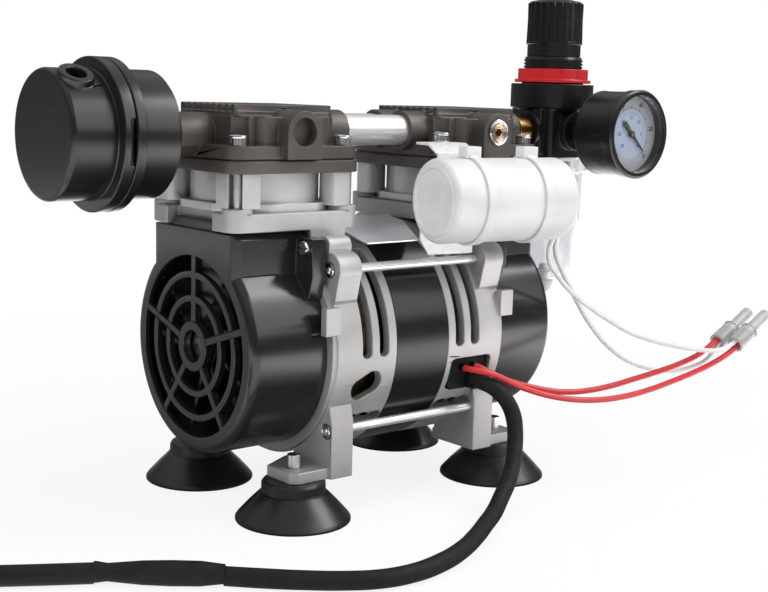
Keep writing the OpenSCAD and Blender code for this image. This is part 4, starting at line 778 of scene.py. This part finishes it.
class PUMP_OT_stage(bpy.types.Operator):
    """Pale floor, world, lamps and the camera"""

    bl_idname = "pump.stage"
    bl_label = "Stage"

    def execute(self, context):
        scene = context.scene
        self.camera(scene)
        self.world(scene)
        self.floor(scene)
        self.lamp("front_softbox", (0.75, -1.25, 1.0), 1.25, 10.0)
        self.lamp("overhead_softbox", (0.86, -0.44, 1.1), 0.62, 8.0)
        self.lamp("left_strip", (-1.2, -0.3, 0.9), 0.6, 8.0).visible_glossy = False
        scene.view_settings.view_transform = "Standard"
        return {"FINISHED"}

    def camera(self, scene):
        yaw, pitch, roll = (math.radians(a) for a in (40.1, 8.89, 1.61))
        forward = Vector((math.sin(yaw) * math.cos(pitch), math.cos(yaw) * math.cos(pitch), -math.sin(pitch)))
        level = Vector((math.cos(yaw), -math.sin(yaw), 0))
        upright = level.cross(forward)
        right = level * math.cos(roll) + upright * math.sin(roll)
        up = upright * math.cos(roll) - level * math.sin(roll)
        data = configured(bpy.data.cameras.new("camera"), lens=62.03, sensor_width=36, clip_start=0.01)
        camera = add_piece("camera", data)
        camera.matrix_world = Matrix((
            (right.x, up.x, -forward.x, -0.3860), (right.y, up.y, -forward.y, -0.4821),
            (right.z, up.z, -forward.z, 0.1841), (0, 0, 0, 1)))
        scene.camera = camera

    def world(self, scene):
        """White where it is seen directly; a dim room with a brighter ceiling for the rest."""
        w = Finish("studio", "World")
        x, y, z = w.axes()
        path = w.node("LightPath").outputs
        room = w.blend(Value(w, path["Is Glossy Ray"]), 0.5, 0.15 + z.step(0.3, 0.8) * 0.5)
        strength = w.blend(seen_straight(w, path), room, 1.0)
        scene.world = w.done(w.node("Background", {0: (1, 1, 1), 1: strength}).outputs[0])

    def floor(self, scene):
        half = scene.pump_sizes.floor_width / 2
        mesh = bpy.data.meshes.new("floor")
        mesh.from_pydata([(-half, -half, 0), (half, -half, 0), (half, half, 0), (-half, half, 0)], [], [(0, 1, 2, 3)])
        floor = add_piece("floor", mesh)
        f = Finish("pale_floor")
        x, y, z = f.axes()
        reach = (x * x + y * y) ** 0.5
        path = f.node("LightPath").outputs
        seen = seen_straight(f, path)
        grain = f.noise(30, 2.0)
        matt = f.plain(Base_Color=f.tint(grain, (1, 1, 1), (0.3, 0.86), (0.7, 0.88)), Roughness=0.8)
        # Painted reflection: polished surfaces see the floor glow, bright to the right of the view and dim to its
        # left, with painted shadow close to the pump
        ahead = (x * 0.64 - y * 0.76) / reach
        right, left = ahead.step(0.8, 0.96), (ahead * -1).step(0.7, 0.95)
        level = 2.1 + right * (1.6 - reach.step(0.5, 0.64) * 3.0) + left * (reach.step(0.96, 1.1) * 2.3 - 1.75)
        # Painted shadow: the glow stays dim within about 0.1 m of the pump and again beyond about 1.3 m
        painted_reflection = 0.12 + reach.step(0.1, 0.24) * (1 - (reach - left * 0.15).step(0.98, 1.32)) * level
        lit = seen * (0.86 + reach.step(0.2, 0.6) * 0.14)
        share = f.blend(Value(f, path["Is Glossy Ray"]) * (1 - seen), lit, 1.0)
        # The floor glows as painted reflection for polished surfaces and as plain white where it is seen directly
        glow = f.node("Emission", {0: (1, 1, 1), 1: f.blend(seen, painted_reflection, 1.0)}).outputs[0]
        f.done(f.node("MixShader", {0: share, 1: matt, 2: glow}).outputs[0])
        mesh.materials.append(f.block)

    def lamp(self, name, place, size, power):
        """A square softbox that faces the middle of the pump."""
        data = configured(bpy.data.lights.new(name, "AREA"), shape="SQUARE", size=size, energy=power)
        lamp = add_piece(name, data)
        lamp.location = place
        middle = Vector((0, -0.02, 0.11))
        lamp.rotation_euler = (middle - Vector(place)).to_track_quat("-Z", "Y").to_euler()
        return lamp


class PUMP_OT_leads(bpy.types.Operator):
    """Power lead, its joint, the coiled rest with its plug, the four wires and their caps"""

    bl_idname = "pump.leads"
    bl_label = "Leads and wires"

    def execute(self, context):
        sizes = context.scene.pump_sizes
        joint = self.joint()
        plug = self.plug()
        lead = cord_piece("power_lead_sleeve", LEAD_ROUTE, sizes.lead_width,
                          lambda t: 1 + 0.025 * math.sin(21 * t) * math.sin(47 * t))
        settle(lead, "lead_sheath", "lead_sheath", "pump", "power_lead")
        middle = (Vector(COIL_ROUTE[-1]) + PLUG_PLACE) / 2 + Vector((0, 0, 0.0003))
        route = TAIL_ROUTE + COIL_ROUTE + [tuple(middle), tuple(PLUG_PLACE)]
        tail = cord_piece("coiled_cable", route, sizes.tail_width)
        tail.data.resolution_u = 3
        settle(tail, "lead_sheath", "lead_sheath", "pump", "lead_coil")
        caps = from_node("crimp_caps", "crimp_cap_pair", 0.0004, "crimp_nylon", "clear_plastic")
        for name, route, length in (
                ("white_wire_front", WHITE_A, 0.148), ("white_wire_rear", WHITE_B, 0.163),
                ("red_wire_rear", RED_A, 0.147), ("red_wire_front", RED_B, 0.161)):
            if name.startswith("white"):
                width, looks = sizes.white_width, ("white_insulation", "white_plastic", "pump", "white_wires")
            else:
                width, looks = sizes.red_width, ("red_insulation", "red_insulation", "pump", "red_wires")
            wire = settle(cord_piece(name, route, width), *looks)
        # The boot's finish is darkened as painted shade of the recess round the lead
        from_node("lead_grommet", "lead_grommet_boot", 0.0003, "grommet", "black_rubber")
        return {"FINISHED"}

    def joint(self):
        """The shrunk sleeve over the joint."""
        start, end = Vector(LEAD_ROUTE[-1]), Vector(JOINT_END)
        length = (end - start).length / MM
        outline = [(0, 0), (0, 3.7), (2, 3.9, 2), (9, 4.7, 4), (20, 4.8, 4), (length - 18, 4.5, 4),
                   (length - 5, 3.4, 3), (length - 1, 4, 0.6), (length, 4), (length, 0)]
        turn = Vector((end.x - start.x, end.y - start.y, 0)).to_track_quat("Z", "Y").to_matrix().to_4x4()
        mesh = turned("joint", outline, at((start.x, start.y, 0.0048)) @ turn, 64, False)
        return new_piece("shrunk_joint", mesh, "lead_sheath", "lead_sheath", "pump", "lead_joint")

    def plug(self):
        """The moulded plug, ribbed where the cable bends, and its two round pins."""
        place = at(PLUG_PLACE) @ RUN_OUT.to_track_quat("Z", "Y").to_matrix().to_4x4()
        ribs = []
        for k in range(5):
            rib, r = 1.6 + 2.4 * k, 6.2 + 1.2 * k
            ribs += [(rib, r, 0.3), (rib + 1.2, r + 0.2, 0.3), (rib + 1.3, r - 1.1), (rib + 2.3, r - 0.7)]
        outline = [(0, 0), (0, 5.6), *ribs, (14.2, 14.3, 1.2), (32, 14.4, 1), (34, 13.2, 0.6), (34, 0)]
        body = new_piece("plug_body", turned("plug_body", outline, place, 72, False),
                         "black_rubber", "lead_sheath", "pump", "plug")
        pin = [(0, 0), (0, 2.4), (17.5, 2.4, 1.2), (19.5, 1.2, 0.6), (19.5, 0)]
        pins = [turned("pin", pin, place @ at((0, 0, 0), "Z", 90) @ at((0, side * 0.0095, 0.0335)), 32, False)
                for side in SIDES]
        new_piece("plug_pins", joined("pins", pins), "steel", "steel", "pump")
        return body


class PUMP_OT_frames(bpy.types.Operator):
    """The two die-cast end frames"""

    bl_idname = "pump.frames"
    bl_label = "End frames"

    def execute(self, context):
        for node in ("left_frame", "right_frame"):
            from_node(node, node + "_casting", context.scene.pump_sizes.casting_edge, "cast_aluminium", segments=3)
        return {"FINISHED"}


class PUMP_OT_motor(bpy.types.Operator):
    """Stator, windings, bearings and everything that turns with the shaft"""

    bl_idname = "pump.motor"
    bl_label = "Motor"

    def execute(self, context):
        edge = context.scene.pump_sizes.turned_edge
        from_node("stator_core", "stator_stack", edge, "black_lacquer")
        from_node("stator_windings", "stator_coils", 0.001, "copper_wire", segments=3)
        from_node("main_bearings", "ball_bearings", edge, "bearing_steel", "steel")
        from_node("motor_shaft", "shaft_bar", edge, "steel")
        from_node("rotor_core", "rotor_stack", edge, "bearing_steel", "steel")
        from_node("fans", "cooling_fans", 0.0003, "black_plastic")
        from_node("eccentrics", "crank_eccentrics", 0.0003, "steel")
        return {"FINISHED"}


class PUMP_OT_pistons(bpy.types.Operator):
    """Piston rods, their bearings and cups"""

    bl_idname = "pump.pistons"
    bl_label = "Pistons"

    def execute(self, context):
        for side in ("left", "right"):
            from_node(side + "_piston_rod", side + "_rod_casting", 0.0005, "cast_aluminium", "machined_aluminium")
            from_node(side + "_crank_bearing", side + "_rod_bearing", 0.0002, "bearing_steel", "steel")
            from_node(side + "_piston_cup", side + "_cup_seal", 0.0002, "piston_seal")
        return {"FINISHED"}


class PUMP_OT_covers(bpy.types.Operator):
    """The two moulded fan covers"""

    bl_idname = "pump.covers"
    bl_label = "Fan covers"

    def execute(self, context):
        for side, node in ((-1, "left_fan_cover"), (1, "right_fan_cover")):
            edge = context.scene.pump_sizes.moulding_edge
            piece = from_node(node, node + "_moulding", edge, "charcoal_gloss")
            add_to(piece, *(self.shoulder(side, front) for front in SIDES))
        return {"FINISHED"}

    def shoulder(self, side, front):
        """The drum's round skin where it runs on behind the step in the hood."""
        angles = [math.radians(a) for a in range(43, 55)]
        profile = [(front * DRUM_RADIUS * math.sin(a), SHAFT_Z + DRUM_RADIUS * math.cos(a)) for a in angles]
        profile += [(front * 0.0352, profile[-1][1]), (front * 0.0295, profile[0][1])]
        bm = bmesh.new()
        ends = [[bm.verts.new((side * x, y, z)) for y, z in profile] for x in (0.0658, 0.0842)]
        for k in range(len(profile)):
            bm.faces.new((ends[0][k - 1], ends[0][k], ends[1][k], ends[1][k - 1]))
        for end in ends:
            bm.faces.new(end)
        mesh = mesh_from(bm, "shoulder")
        smooth(mesh)
        return mesh


class PUMP_OT_heads(bpy.types.Operator):
    """Cylinders, valve plates, heads, reeds, gaskets, crossover tubes and the hex plug"""

    bl_idname = "pump.heads"
    bl_label = "Cylinders and heads"

    def execute(self, context):
        sizes = context.scene.pump_sizes
        from_node("cylinders", "cylinder_sleeves", sizes.turned_edge, "machined_aluminium")
        from_node("valve_plates", "valve_plate_castings", 0.0005, "taupe_paint")
        left, right = (from_node(node, node + "_casting", sizes.casting_edge, "taupe_paint", segments=3)
                       for node in ("left_head", "right_head"))
        port_floor = [(0, 0), (0, 5.88), (-1, 5.88), (-1, 0)]
        add_to(left, turned("floor", port_floor, at((-CYLINDER_X, -0.0318, PORT_Z), "X", 90), 48, False))
        from_node("reed_valves", "reed_strips", 0, "steel")
        from_node("seals", "gaskets_and_rings", 0, "black_rubber")
        from_node("crossover_tubes", "crossover_pipes", sizes.turned_edge, "satin_pipe", "chrome")
        self.plug()
        return {"FINISHED"}

    def plug(self):
        """A chamfered silver ring with a bronze hex-socket core."""
        place = at((CYLINDER_X, -0.037, PORT_Z), "X", 90)
        inner = -7.6
        ring = [(inner, 5.8), (0, 5.8), (0, 6.1), (0.8, 6.1, 0.4), (1.4, 5.5, 0.3), (1.2, 4.8, 0.3), (0.3, 4.5, 0.2),
                (0.1, 4.2), (inner, 4.2)]
        core = [(inner, 4.1), (0.3, 4.1, 0.3), (0.9, 3.4, 0.3), (0.6, 2.8), (inner, 2.8)]
        socket = [(inner, 2.1), (0.3, 2.1), (0.6, 2.6), (0.6, 3.1), (inner, 3.1)]
        base = [(-3, 0), (-3, 2.9), (-4.5, 2.9), (-4.5, 0)]
        new_piece("plug_ring", turned("ring", ring, place), "plated", "steel", "pump", "port_plug")
        meshes = [turned("core", core, place), turned("socket", socket, place, 6),
                  turned("base", base, place, 24, False)]
        new_piece("plug_core", joined("core", meshes), "bronze", "steel", "pump")


class PUMP_OT_fasteners(bpy.types.Operator):
    """Head bolts with knurled heads, tie rods, cover screws and the feet's studs"""

    bl_idname = "pump.fasteners"
    bl_label = "Fasteners"

    def execute(self, context):
        sizes = context.scene.pump_sizes
        from_node("head_bolts", "head_bolt_set", 0.00022, "plated", "steel")
        ridge = block((0.00024, 0.0009, 0.0026), (0.00355, 0, 0.00172))
        ring = grown("knurl_ring", ridge, ring_tree, "plated", Count=sizes.head_knurls,
                     Angle=2 * math.pi / sizes.head_knurls, Axis=UP, Centre=(0.0, 0.0, 0.0))
        places = [(*bolt, HEAD_FLANGE_TOP + BRACKET_THICKNESS * (bolt == BRACKET_BOLT)) for bolt in HEAD_BOLTS]
        self.copies("head_bolt_knurls", ring, places, "plated", 0.9, 3)
        from_node("tie_rods", "tie_rod_set", sizes.turned_edge, "satin_pipe", "steel")
        heads = [self.socket_head(at((TIE_HEAD_X, side * TIE_Y, z), "Y", -90)) for side in SIDES for z in TIE_HEIGHTS]
        new_piece("tie_rod_heads", joined("heads", heads), "plated", "steel", "pump")
        from_node("cover_screws", "cover_screw_set", 0.00018, "steel")
        from_node("foot_studs", "foot_stud_set", sizes.turned_edge, "steel")
        thread = turned("thread", [(0, 2.9), (0.4, 3.02, 0.1), (0.8, 2.9)], at((0, 0, 0)), 40)
        row = grown("thread_row", thread, row_tree, "steel", Count=5, Step=(0.0, 0.0, 0.00105))
        places = [(*foot, STUD_THREAD_Z) for foot in FEET]
        smooth(self.copies("foot_stud_threads", row, places, "steel", 0.0, 1).data)
        return {"FINISHED"}

    def copies(self, name, piece, places, look, turn, seed):
        """Copies of a piece at places, which take its own place in the scene."""
        points = points_mesh(name, places)
        copied = grown(name, points, places_tree, look, Piece=piece, Turn=turn, Seed=seed)
        bpy.data.objects.remove(piece)
        return settle(copied, look, "steel", "pump")

    def socket_head(self, place):
        """The turned head of a tie rod, flush in its counterbore, with a hex socket."""
        rim = [(0, 1.7), (1.1, 1.9), (1.3, 2.4, 0.2), (1.1, 3, 0.3), (0, 3)]
        socket = [(0, 0), (0, 1.4), (1.1, 1.6), (1.1, 2), (-0.3, 2), (-0.3, 0)]
        return joined("head", [turned("rim", rim, place, 40), turned("socket", socket, place, 6, False)])


class PUMP_OT_silencer(bpy.types.Operator):
    """The silencer's base, its twist-off cap, the element inside and the brass nipples"""

    bl_idname = "pump.silencer"
    bl_label = "Silencer"

    def execute(self, context):
        from_node("silencer_base", "silencer_base_moulding", 0.0006, "black_satin", segments=3)
        from_node("silencer_cap", "silencer_cap_moulding", 0.0006, "black_satin", segments=3)
        from_node("silencer_element", "silencer_felt", 0.0008, "filter_felt")
        from_node("port_nipples", "brass_nipples", 0.0003, "brass")
        return {"FINISHED"}


class PUMP_OT_regulator(bpy.types.Operator):
    """The filter regulator with its knob, red lock ring and clear bowl"""

    bl_idname = "pump.regulator"
    bl_label = "Regulator"

    def execute(self, context):
        edge = context.scene.pump_sizes.moulding_edge
        from_node("regulator_body", "regulator_block", edge, "black_plastic", segments=3)
        from_node("regulator_bonnet", "regulator_bonnet_cap", 0, "black_plastic")
        from_node("lock_ring", "red_lock_ring", 0.0003, "red_plastic")
        from_node("regulator_knob", "fluted_knob", 0.00018, "black_plastic")
        from_node("adjusting_screw", "adjusting_spindle", 0.0002, "steel")
        self.bowl()
        from_node("bowl_filter", "bowl_filter_stack", 0.0002, "white_plastic")
        from_node("drain_valve", "drain_button", 0.0002, "white_plastic")
        self.spring()
        return {"FINISHED"}

    def bowl(self):
        """A thin clear bowl, chamfered below, under a ribbed bayonet ring."""
        low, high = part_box("bowl")
        top = (high.z - low.z) / MM
        outline = [(0, 3.1), (0, 11.8, 1.6), (4.8, 16.6, 1.6), (top - 10.5, 17.7), (top - 10, 19.8, 0.6),
                   (top - 3, 19.8, 0.5), (top - 3, 13.4), (top, 13.4), (top, 12.1), (top - 10, 12.1),
                   (top - 12, 16.1, 1), (5.6, 15.1, 1.6), (1.6, 11.3, 1.6), (1.6, 3.1)]
        skin = turned("bowl", outline, at((REGULATOR_X, 0, low.z)))
        new_piece("clear_bowl", skin, "clear_plastic", "clear_plastic", "bowl_body", "bowl")
        rib = block((0.0012, 0.0016, 0.0064), (REGULATOR_X + 0.0201, 0, high.z - 0.0064))
        ribs = grown("bowl_ribs", rib, ring_tree, "clear_plastic", Count=12, Angle=math.pi / 6, Axis=UP,
                     Centre=(REGULATOR_X, 0.0, 0.0))
        settle(ribs, "clear_plastic", "clear_plastic", "bowl_body")

    def spring(self):
        """The regulator's spring, with its ends inside the CAD spring's height."""
        low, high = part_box("regulator_spring")
        turns, wire, radius = 6, 0.0009, 0.0076
        steps = turns * 16
        rise = high.z - low.z - 2 * wire
        route = [(REGULATOR_X + radius * math.cos(k * math.pi / 8), radius * math.sin(k * math.pi / 8),
                  low.z + wire + rise * k / steps) for k in range(steps + 1)]
        settle(cord_piece("coil_spring", route, 2 * wire), "steel", "steel", "pump", "regulator_spring")


class PUMP_OT_gauge(bpy.types.Operator):
    """The gauge: case, printed dial with plain numbers, pointer and lens"""

    bl_idname = "pump.gauge"
    bl_label = "Gauge"

    first_angle = math.radians(-45)
    sweep = math.radians(270)

    def execute(self, context):
        divisions = context.scene.pump_sizes.dial_divisions
        from_node("gauge_case", "gauge_housing", 0.00025, "black_plastic", segments=3)
        from_node("gauge_dial", "dial_sheet", 0, "dial_face")
        from_node("gauge_pointer", "pointer_needle", 0, "dial_ink", "black_plastic")
        from_node("gauge_lens", "gauge_window", 0.0002, "lens", "clear_plastic")
        self.marks("dial_divisions_long", divisions + 1, 0.0132, 0.0015, 0.00042, "dial_ink")
        self.marks("dial_divisions_short", 5 * divisions + 1, 0.0128, 0.0008, 0.00024, "dial_ink")
        self.marks("dial_blue_divisions", 31, 0.0105, 0.0009, 0.00022, "dial_blue")
        self.numbers("dial_numbers_outer", range(0, 101, 20), 0.0157, 0.0034, "dial_ink")
        self.numbers("dial_numbers_inner", range(0, 31, 5), 0.0082, 0.0025, "dial_blue")
        hub = turned("hub", [(0, 0), (0, 1.1), (0.6, 1.1, 0.3), (0.6, 0)],
                     at((REGULATOR_X, DIAL_Y - 0.0016, PORT_Z), "X", 90), 32, False)
        new_piece("pointer_hub_cap", hub, "brass", "brass", "pointer")
        return {"FINISHED"}

    def marks(self, name, count, radius, length, width, ink):
        """A ring of equal lines round the dial."""
        mark = block((length, 0.00006, width))
        first = Matrix.Rotation(-self.first_angle, 4, "Y")
        mark.transform(at(DIAL_CENTRE) @ first @ at((radius, -0.00002, 0)))
        piece = grown(name, mark, ring_tree, ink, Count=count, Angle=self.sweep / (count - 1),
                      Axis=(0.0, -1.0, 0.0), Centre=DIAL_CENTRE)
        settle(piece, ink, "dial_face", "pump")

    def numbers(self, name, labels, radius, size, ink):
        """Plain upright numbers along the dial's sweep."""
        meshes = []
        for k, label in enumerate(labels):
            angle = self.first_angle + self.sweep * k / (len(labels) - 1)
            text = configured(
                bpy.data.curves.new("number", "FONT"), body=str(label), size=size, align_x="CENTER",
                align_y="CENTER", extrude=0.00003, offset=size * 0.018, resolution_u=4)
            holder = add_piece("number", text)
            evaluated = holder.evaluated_get(bpy.context.evaluated_depsgraph_get())
            mesh = bpy.data.meshes.new_from_object(evaluated)
            bpy.data.objects.remove(holder)
            place = Vector(DIAL_CENTRE) + Vector((radius * math.cos(angle), -0.00003, radius * math.sin(angle)))
            mesh.transform(at(place, "X", 90))
            meshes.append(mesh)
        new_piece(name, joined(name, meshes), ink, "dial_face", "pump")


class PUMP_OT_capacitor(bpy.types.Operator):
    """The capacitor on its galvanised bracket with two cable ties"""

    bl_idname = "pump.capacitor"
    bl_label = "Capacitor"

    def execute(self, context):
        from_node("capacitor_bracket", "capacitor_strap_plate", 0.0002, "galvanised")
        can = from_node("capacitor", "capacitor_can", 0.0003, "white_plastic")
        add_to(can, *(self.moulded_frame(size) for size in (4.2, 7.5, 10.8)))
        from_node("capacitor_ties", "cable_ties", 0.00025, "white_plastic")
        return {"FINISHED"}

    def moulded_frame(self, size):
        """A faint raised square on the end of the can, turned with the bracket about its bolt."""
        bolt = at((*BRACKET_BOLT, 0))
        place = bolt @ at((0, 0, 0), "Z", -8.4) @ bolt.inverted() @ at((0.001, -0.0647, 0.137), "Y", 90)
        outline = [(0.3, size - 1.2), (-0.12, size - 0.9, 0.1), (-0.12, size - 0.3, 0.1), (0.3, size)]
        return turned("frame", outline, place @ Matrix.Rotation(0.9, 4, "Z"), 4)


class PUMP_OT_feet(bpy.types.Operator):
    """The four rubber suction feet"""

    bl_idname = "pump.feet"
    bl_label = "Suction feet"

    def execute(self, context):
        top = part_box("suction_feet")[1].z / MM
        outline = [
            (2.4, 0), (2.7, 4.5, 2), (3.1, 10, 3), (1.2, 19, 4), (0, 23.6, 0.6), (0, 25, 0.3), (1, 25, 0.4),
            (2, 24.3, 0.8), (7.2, 19.6, 20), (12.1, 14.7, 0.8), (12.4, 13.9, 0.3), (top - 1.2, 13.9, 0.6),
            (top, 13.1, 0.4), (top, 3.1), (7.5, 3.1), (7.5, 0)]
        feet = [turned("foot", outline, at((*foot, 0)), 96, False) for foot in FEET]
        new_piece("suction_cups", joined("feet", feet), "black_rubber", "black_rubber", "pump", "suction_feet")
        return {"FINISHED"}


class PUMP_OT_plate(bpy.types.Operator):
    """The bare sheet plate between the cylinders"""

    bl_idname = "pump.plate"
    bl_label = "Plate"

    def execute(self, context):
        from_node("rating_plate", "bare_sheet_plate", 0.00012, "bare_plate")
        return {"FINISHED"}


class PUMP_PT_panel(bpy.types.Panel):
    """Sizes, colours and steps of the pump"""

    bl_idname = "PUMP_PT_panel"
    bl_label = "Pump"
    bl_space_type = "VIEW_3D"
    bl_region_type = "UI"
    bl_category = "Pump"

    def draw(self, context):
        for group in (context.scene.pump_sizes, context.scene.pump_colours):
            for name in group.__annotations__:
                self.layout.prop(group, name)
        for step in STEPS:
            self.layout.operator(step.bl_idname)


STEPS = (
    PUMP_OT_stage, PUMP_OT_leads, PUMP_OT_frames, PUMP_OT_motor, PUMP_OT_pistons, PUMP_OT_covers, PUMP_OT_heads,
    PUMP_OT_fasteners, PUMP_OT_silencer, PUMP_OT_regulator, PUMP_OT_gauge, PUMP_OT_capacitor, PUMP_OT_feet,
    PUMP_OT_plate)
CLASSES = (PumpSizes, PumpColours, *STEPS, PUMP_PT_panel)


def register():
    for cls in CLASSES:
        bpy.utils.register_class(cls)
    bpy.types.Scene.pump_sizes = bpy.props.PointerProperty(type=PumpSizes)
    bpy.types.Scene.pump_colours = bpy.props.PointerProperty(type=PumpColours)


def unregister():
    del bpy.types.Scene.pump_colours
    del bpy.types.Scene.pump_sizes
    for cls in reversed(CLASSES):
        bpy.utils.unregister_class(cls)


def main():
    register()
    for step in STEPS:
        group, name = step.bl_idname.split(".")
        getattr(getattr(bpy.ops, group), name)()


if __name__ == "__main__":
    main()
